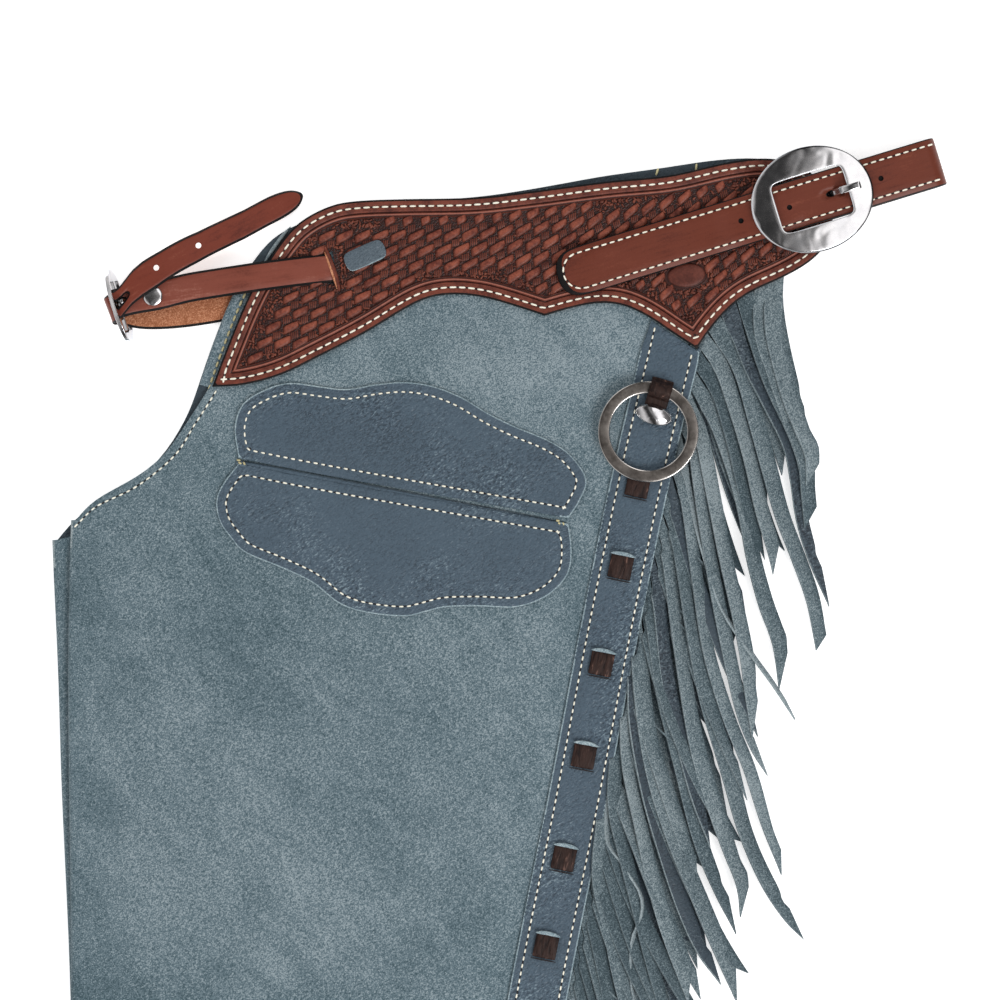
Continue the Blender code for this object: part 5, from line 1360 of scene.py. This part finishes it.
# The plate's section, once round from its window: share of the way out to the rim, how far below the
# dome or above the back, and 1 on the dome.
PLATE_SECTION = (
    (0.04, 0, 0), (0.0, 0.5, 0), (0.0, 0.5, 1), (0.012, 0.22, 1), (0.03, 0.06, 1), (0.06, 0, 1), (0.2, 0, 1),
    (0.35, 0, 1), (0.5, 0, 1), (0.65, 0, 1), (0.8, 0, 1), (0.92, 0, 1), (0.955, 0.08, 1), (0.975, 0.3, 1),
    (1.0, 0.8, 1), (1.0, 0.6, 0), (0.97, 0.1, 0))
plate_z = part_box("belt_buckle")[0].z / MM
sections, cuts_and_shaded_chamfer, glints = [], [], []
for i in range(220):
    a = 2 * math.pi * i / 220
    ex, ey = BUCKLE_HALF[0] * math.cos(a), BUCKLE_HALF[1] * math.sin(a)
    aim = math.atan2(ey, ex)
    u, v = math.cos(aim), math.sin(aim)
    window = (abs(u / WINDOW_HALF[0]) ** 9 + abs(v / WINDOW_HALF[1]) ** 9) ** (-1 / 9)
    wx, wy = window * u, window * v
    # Painted light: how much the rim faces one heading, where it gets a painted bright glint.
    rubs_and_glint_side = max(0.0, math.cos(a + math.radians(BELT_HEADING - PAINTED_GLINT_HEADING)))
    sections.append([])
    for share, off, dome in PLATE_SECTION:
        x, y = wx + (ex - wx) * share, wy + (ey - wy) * share
        top = PLATE_TOP - PLATE_FALL * ((x / BUCKLE_HALF[0]) ** 2 + (y / BUCKLE_HALF[1]) ** 2)
        z = plate_z + (top - off if dome else off)
        sections[-1].append((*turned(BUCKLE_CENTRE, x, y, BELT_HEADING), z))
        # Painted shade on the outer chamfer away from that heading. A painted glint on it towards the heading
        # and on the window's rim.
        cuts_and_shaded_chamfer.append(float(share > 0.95) * (1 - rubs_and_glint_side))
        glints.append(1.0 if share < 0.05 and dome else float(share > 0.95) * rubs_and_glint_side * 0.9)
buckle = shown("belt_buckle_plate", ring_mesh("belt_buckle_plate", sections), chrome)
buckle.data.set_sharp_from_angle(angle=math.radians(60))
mark(buckle.data, "cut", cuts_and_shaded_chamfer)
mark(buckle.data, "glint", glints)
dress(buckle, "belt_buckle")
across = Vector((-math.sin(math.radians(BELT_HEADING)), math.cos(math.radians(BELT_HEADING)), 0))
for node, thickness, wider in (("belt_tongue", 2.0, 0.6), ("belt_bar", 2.1, 0.0)):
    part = plated(node, thickness, bevel=0.0)
    low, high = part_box(node)
    for vert in part.data.vertices:
        vert.co += across * across.dot(vert.co - (low + high) / 2) * wider
    dress(part, node)

# ---- The front strap, its billet and buckle ----
# A 19 mm strap comes through a slit in the upper yoke and holds a small oval buckle. The billet from the
# under yoke turns round the buckle's bar and points up and back, with the buckle's prong through it.
front_leather = strap_finish("front_strap_leather", dye(90, 43, 33), dye(121, 63, 50), dye(176, 122, 106), 8)
billet_leather = strap_finish("billet_leather", dye(84, 34, 24), dye(110, 49, 35), dye(146, 84, 66), 28)
flesh = suede_finish("flesh_side", dye(126, 76, 50), dye(160, 101, 71), dye(198, 142, 110))
straps = {}
for node, length, leather, inner in (("front_strap", 0.175, front_leather, front_leather),
                                     ("front_billet", 0.245, billet_leather, flesh)):
    strap = refined(f"{node}_leather", node, 2.4, leather, black_edge, worn=1.15, inner=inner, held=False,
                    upper_cut=1.45, lower_cut=0.6)
    straps[node] = strap
    dress(strap, node)
# The billet's free end lies nearly straight and draws in a little: its middle line, and how far each
# place on it moves across. The end is what lies above a height up to FOLD_X, and past a y after it.
BILLET_LINE = ((-246, 451.5, 0.0), (-238, 458.3, 3.8), (-231.5, 463.8, 3.8), (-220.5, 473.4, 1.6),
               (-208.5, 482.2, 0.2), (-195.5, 490.6, -1.4), (-181, 498, -1.4), (-166, 504.8, -0.9),
               (-150, 511.8, 1.0), (-128, 522, 1.8))
BILLET_HOLES = ((-195.3, 489.8), (-222.3, 475.2))
FOLD_X, END_ABOVE_Z, END_ABOVE_Y, BILLET_NARROWER = -212, 12, 468, 0.93
line_x, line_y, line_shift = zip(*BILLET_LINE)
for vert in straps["front_billet"].data.vertices:
    x, y, z = (vert.co - plan_zero) / MM
    if z > END_ABOVE_Z if x < FOLD_X else y > END_ABOVE_Y:
        middle_y = np.interp(x, line_x, line_y)
        y = middle_y + (y - middle_y) * BILLET_NARROWER + np.interp(x, line_x, line_shift)
        vert.co = placed(x, y, z)
punched(straps["front_billet"], [(x, y, -20, 60) for x, y in BILLET_HOLES], 1.9)
# The front strap dips a little where it goes down through its slit.
STRAP_DIP, DIP_FROM_X, DIP_OVER = 1.1, -138, 20
for vert in straps["front_strap"].data.vertices:
    x = (vert.co.x - plan_zero.x) / MM
    vert.co.z -= STRAP_DIP * MM * ease((x - DIP_FROM_X) / DIP_OVER)
on_strap = above(straps["front_strap"])
slit_line = smooth(((-115.2, 488.5), (-113.6, 484.0), (-111.2, 477.5), (-108.6, 470.0), (-106.6, 463.5),
                    (-105.8, 460.0)), 1.5)
ridge_z = on_yoke(SLIT_CENTRE[0] + 9, SLIT_CENTRE[1]) - 0.3
ridge = [(x, y, ridge_z) for x, y in beside(slit_line, 1.8)]
rise = max(on_strap(x, y) for x, y, _ in ridge) - ridge_z + 0.35
ribbons("strap_slit_lap", [ridge], 3.6, rise, tooled, taper=0.6)
lip = [(x, y, ridge_z + rise * 0.95) for x, y in beside(slit_line, 0.5)[2:-1]]
ribbons("strap_slit_lip", [lip], 1.5, 0.5, flesh, taper=0.7)
BUCKLE_BAR, BUCKLE_LONG_WAY, BUCKLE_LEAN = placed(-246.5, 450.5, 14.2), math.radians(107), math.radians(-14)
SCREW_CENTRE, SCREW_WIDER, SCREW_SHIFT = placed(-224.6, 457.0), 0.14, 0.9
for node, thickness, bevel in (("front_buckle", 2.6, 0.7), ("front_prong", 1.6, 0.0),
                               ("strap_screw", 1.5, 0.3)):
    part = plated(node, thickness, bevel=bevel)
    if node == "front_buckle":
        long_axis = (math.cos(BUCKLE_LONG_WAY), math.sin(BUCKLE_LONG_WAY), 0)
        lean = Matrix.Rotation(BUCKLE_LEAN, 4, long_axis)
        part.data.transform(Matrix.Translation(BUCKLE_BAR) @ lean @ Matrix.Translation(-BUCKLE_BAR))
    if node == "strap_screw":
        for vert in part.data.vertices:
            vert.co.xy += (vert.co.xy - SCREW_CENTRE.xy) * SCREW_WIDER + Vector((SCREW_SHIFT * MM, 0))
    dress(part, node)
tab_grain = grain_finish("tab_grain", dye(50, 62, 71), dye(82, 94, 103), dye(134, 144, 150), pebble=1.2,
                         gloss=0.4)
tab = refined("yoke_tab_leather", "yoke_tab", 1.6, tab_grain, blue_edge, worn=0.45)
# Only the tab's edge towards the strap shows its cut.
for side in tab.data.polygons:
    if side.normal.y > -0.2 or side.normal.x < -0.6:
        side.material_index = 0
drawn_in(tab, "yoke_tab", 0.93)
dress(tab, "yoke_tab")

# ---- The ring, its loop and the concho ----
# A flat nickel ring, bevelled at its edges, swings in a loop of brown lace leather. The loop's foot is
# fixed to the band by a domed oval concho.
RING_CENTRE, RING_PIVOT = (95.95, 369.2), (103.8, 396.1)
PIVOT_Z, PIVOT_RISE, RING_R, RING_HALF_T, RING_GAP = frame["joints"][0]["pos_m"][2] / MM, 4.9, 32.7, 1.6, 0.3
hang = math.degrees(math.atan2(RING_PIVOT[1] - RING_CENTRE[1], RING_PIVOT[0] - RING_CENTRE[0]))
ring_reach = math.dist(RING_PIVOT, RING_CENTRE)
ring_tilt = math.asin((PIVOT_RISE - RING_HALF_T - RING_GAP) / (ring_reach + RING_R))
nickel_finish = Finish("aged_nickel", Metallic=1.0)
where = nickel_finish.place()
bright = nickel_finish.read("polish")
tarnish = nickel_finish.cloud(where, 5, 4.0, 0.7)
brushed = nickel_finish.cloud(where, 0.7, 2.0, 0.6)
dull = nickel_finish.blend(tarnish.within(0.3, 0.75), dye(84, 80, 77), dye(126, 122, 118))
nickel = nickel_finish.feed(
    Base_Color=nickel_finish.blend(bright, dull, dye(226, 224, 222)),
    Roughness=0.36 - bright * 0.26 + (tarnish - 0.5) * 0.15, Normal=nickel_finish.bump(brushed, 0.05, 0.3))
# Radius, height, and 1 where the bevel is bright.
RING_SECTION = (
    (25.0, -0.7, 1), (25.2, -1.25, 1), (25.9, -1.6, 0), (31.8, -1.6, 0), (32.5, -1.25, 1), (32.7, -0.7, 1),
    (32.7, 0.7, 1), (32.6, 1.1, 1), (32.2, 1.4, 1), (31.85, 1.5, 0), (30.5, 1.55, 0), (28.8, 1.6, 0),
    (27.2, 1.55, 0), (25.85, 1.5, 0), (25.5, 1.4, 1), (25.1, 1.1, 1), (25.0, 0.7, 1))
sections, polish = [], []
for i in range(160):
    a = 2 * math.pi * i / 160
    sections.append([])
    for r, z, bright in RING_SECTION:
        along, across = r * math.cos(a) - ring_reach, r * math.sin(a)
        tipped = along * math.cos(ring_tilt) - z * math.sin(ring_tilt)
        height = along * math.sin(ring_tilt) + z * math.cos(ring_tilt)
        sections[-1].append((*turned(RING_PIVOT, tipped, across, hang), PIVOT_Z + height))
        polish.append(bright)
ring = shown("ring_nickel", ring_mesh("ring_nickel", sections), nickel)
mark(ring.data, "polish", polish)
dress(ring, "ring", body="ring")
LOOP_NARROWER, LOOP_SHORTER = 0.17, 0.2
loop = refined("ring_loop_leather", "ring_loop", 1.6, brown_lace, brown_lace, worn=0.5)
across = Vector((-math.sin(math.radians(hang)), math.cos(math.radians(hang)), 0))
along = Vector((across.y, -across.x, 0))
for vert in loop.data.vertices:
    offset = (vert.co - plan_zero) / MM - Vector((*RING_PIVOT, 0))
    vert.co -= (across * offset.dot(across) * LOOP_NARROWER + along * offset.dot(along) * LOOP_SHORTER) * MM
dress(loop, "ring_loop")
dress(plated("concho", 0.6, levels=3, bevel=0.0, sharp=80), "concho")

# ---- The sewing ----
# Every seam is machine sewn in one heavy cream thread, about five stitches to the inch. A dark piece
# between one stitch and the next is painted shade in the needle hole. The waist's inside and the front
# hem have khaki thread.
hole_piece = stamp("needle_hole", [
    [(along, half * math.cos(a), 0.2 + 0.12 * half * math.sin(a)) for a in hexagon]
    for along, half in ((-1.0, 0.2), (-0.6, 0.5), (0.6, 0.5), (1.0, 0.2))])
for name, lines, dash, width, pitch, thread in (
        ("blue_leather_stitches", seams, 3.1, 1.2, 4.95, cream_thread),
        ("yoke_stitches", yoke_seam, 4.9, 1.35, 6.0, cream_thread),
        ("belt_stitches", belt_seam, 4.1, 1.25, 5.5, cream_thread),
        ("khaki_stitches", hem_seam, 4.3, 1.7, 5.2, khaki_thread)):
    arranged(name, lines_mesh(name, lines), along_lines, "thread", Piece=stitch(dash, width),
             Spacing=pitch * MM, Unevenness=0.12, Finish=thread)
    if thread is cream_thread:
        between = [[tuple((np.array(p) + q) / 2) for p, q in zip(even, even[1:])]
                   for even in (spaced(line, pitch) for line in lines)]
        arranged(f"{name}_holes", lines_mesh(name, between), along_lines, "thread", Piece=hole_piece,
                 Spacing=pitch * MM, Unevenness=0.1, Finish=painted_hole_shade)
arranged("khaki_tacks", points_mesh("khaki_tacks", tacks), at_points, "thread", Piece=stitch(3.4, 1.2),
         Finish=khaki_thread)

# ---- The floor, the lights and the camera ----
# A white floor that shines a little of itself, a broad light from the lower right, a softer one from the
# upper left, and a long lens straight above. The metal mirrors a room that is dark on its left.
floor_mesh = bpy.data.meshes.new("floor")
floor_mesh.from_pydata([(x, y, -0.0004) for x, y in ((-6, -6), (6, -6), (6, 6), (-6, 6))], [], [(0, 1, 2, 3)])
floor_finish = Finish("floor", Roughness=0.9, Specular_IOR_Level=0.1, Emission_Color=(1, 1, 1, 1),
                      Emission_Strength=0.5)
white = floor_finish.cloud(floor_finish.place(), 900, 2.0)
floor_finish.feed(Base_Color=floor_finish.blend(white, (0.93, 0.93, 0.93, 1), (0.95, 0.95, 0.95, 1)))
floor = shown("floor", floor_mesh, floor_finish.material)


def studio():
    """An even white room for the leather. Only mirrors see its dark left side."""
    world = bpy.data.worlds.new("studio")
    bpy.context.scene.world = world
    world.use_nodes = True
    nodes = world.node_tree.nodes
    even, room = nodes["Background"], nodes.new("ShaderNodeBackground")
    even.inputs["Color"].default_value = (1.0, 1.0, 1.0, 1)
    even.inputs["Strength"].default_value = 0.66
    heading, side = nodes.new("ShaderNodeTexCoord"), nodes.new("ShaderNodeSeparateXYZ")
    ramp, ray = nodes.new("ShaderNodeValToRGB"), nodes.new("ShaderNodeLightPath")
    mix, spread = nodes.new("ShaderNodeMixShader"), nodes.new("ShaderNodeMath")
    stops = ramp.color_ramp.elements
    stops[0].position, stops[0].color = 0.0, (0.1, 0.1, 0.1, 1)
    stops[1].position, stops[1].color = 1.0, (0.08, 0.08, 0.08, 1)
    for place, shade in ((0.26, 0.8), (0.35, 0.3), (0.40, 0.03), (0.465, 0.05), (0.49, 0.24), (0.53, 0.36),
                         (0.575, 1.5), (0.70, 1.5), (0.79, 0.2)):
        stops.new(place).color = (shade, shade * 0.95, shade * 0.92, 1)
    spread.operation = "MULTIPLY_ADD"
    spread.inputs[1].default_value, spread.inputs[2].default_value = 0.5, 0.5
    for source, output, target, socket in (
            (heading, "Generated", side, 0), (side, "X", spread, 0), (spread, 0, ramp, 0),
            (ramp, 0, room, "Color"), (ray, "Is Glossy Ray", mix, 0), (even, 0, mix, 1), (room, 0, mix, 2),
            (mix, 0, nodes["World Output"], "Surface")):
        world.node_tree.links.new(source.outputs[output], target.inputs[socket])


studio()


def softbox(name, place, aim, size, power, mirrored=True):
    light = bpy.data.lights.new(name, "AREA")
    light.shape, light.size, light.size_y, light.energy = "RECTANGLE", size[0], size[1], power
    made = bpy.data.objects.new(name, light)
    made.location = place
    made.rotation_euler = (Vector(aim) - Vector(place)).to_track_quat("-Z", "Y").to_euler()
    made.visible_glossy = mirrored
    bpy.context.scene.collection.objects.link(made)


softbox("key", (1.1, -1.0, 1.9), (0, 0.25, 0), (1.1, 1.1), 36)
softbox("fill", (-1.5, 1.2, 1.7), (0, 0.2, 0), (1.4, 1.4), 12, False)

VIEW_Y, CAMERA_Z, SENSOR, VIEW_WIDTH = 325, 4.0, 36.0, 0.65
middle = placed(0, VIEW_Y)
camera = bpy.data.cameras.new("camera")
camera.sensor_width, camera.lens = SENSOR, SENSOR * CAMERA_Z / VIEW_WIDTH
camera_object = bpy.data.objects.new("camera", camera)
camera_object.location = (middle.x, middle.y, CAMERA_Z)
bpy.context.scene.collection.objects.link(camera_object)
bpy.context.scene.camera = camera_object
bpy.context.scene.view_settings.view_transform = "Standard"
bpy.context.scene.view_settings.look = "None"
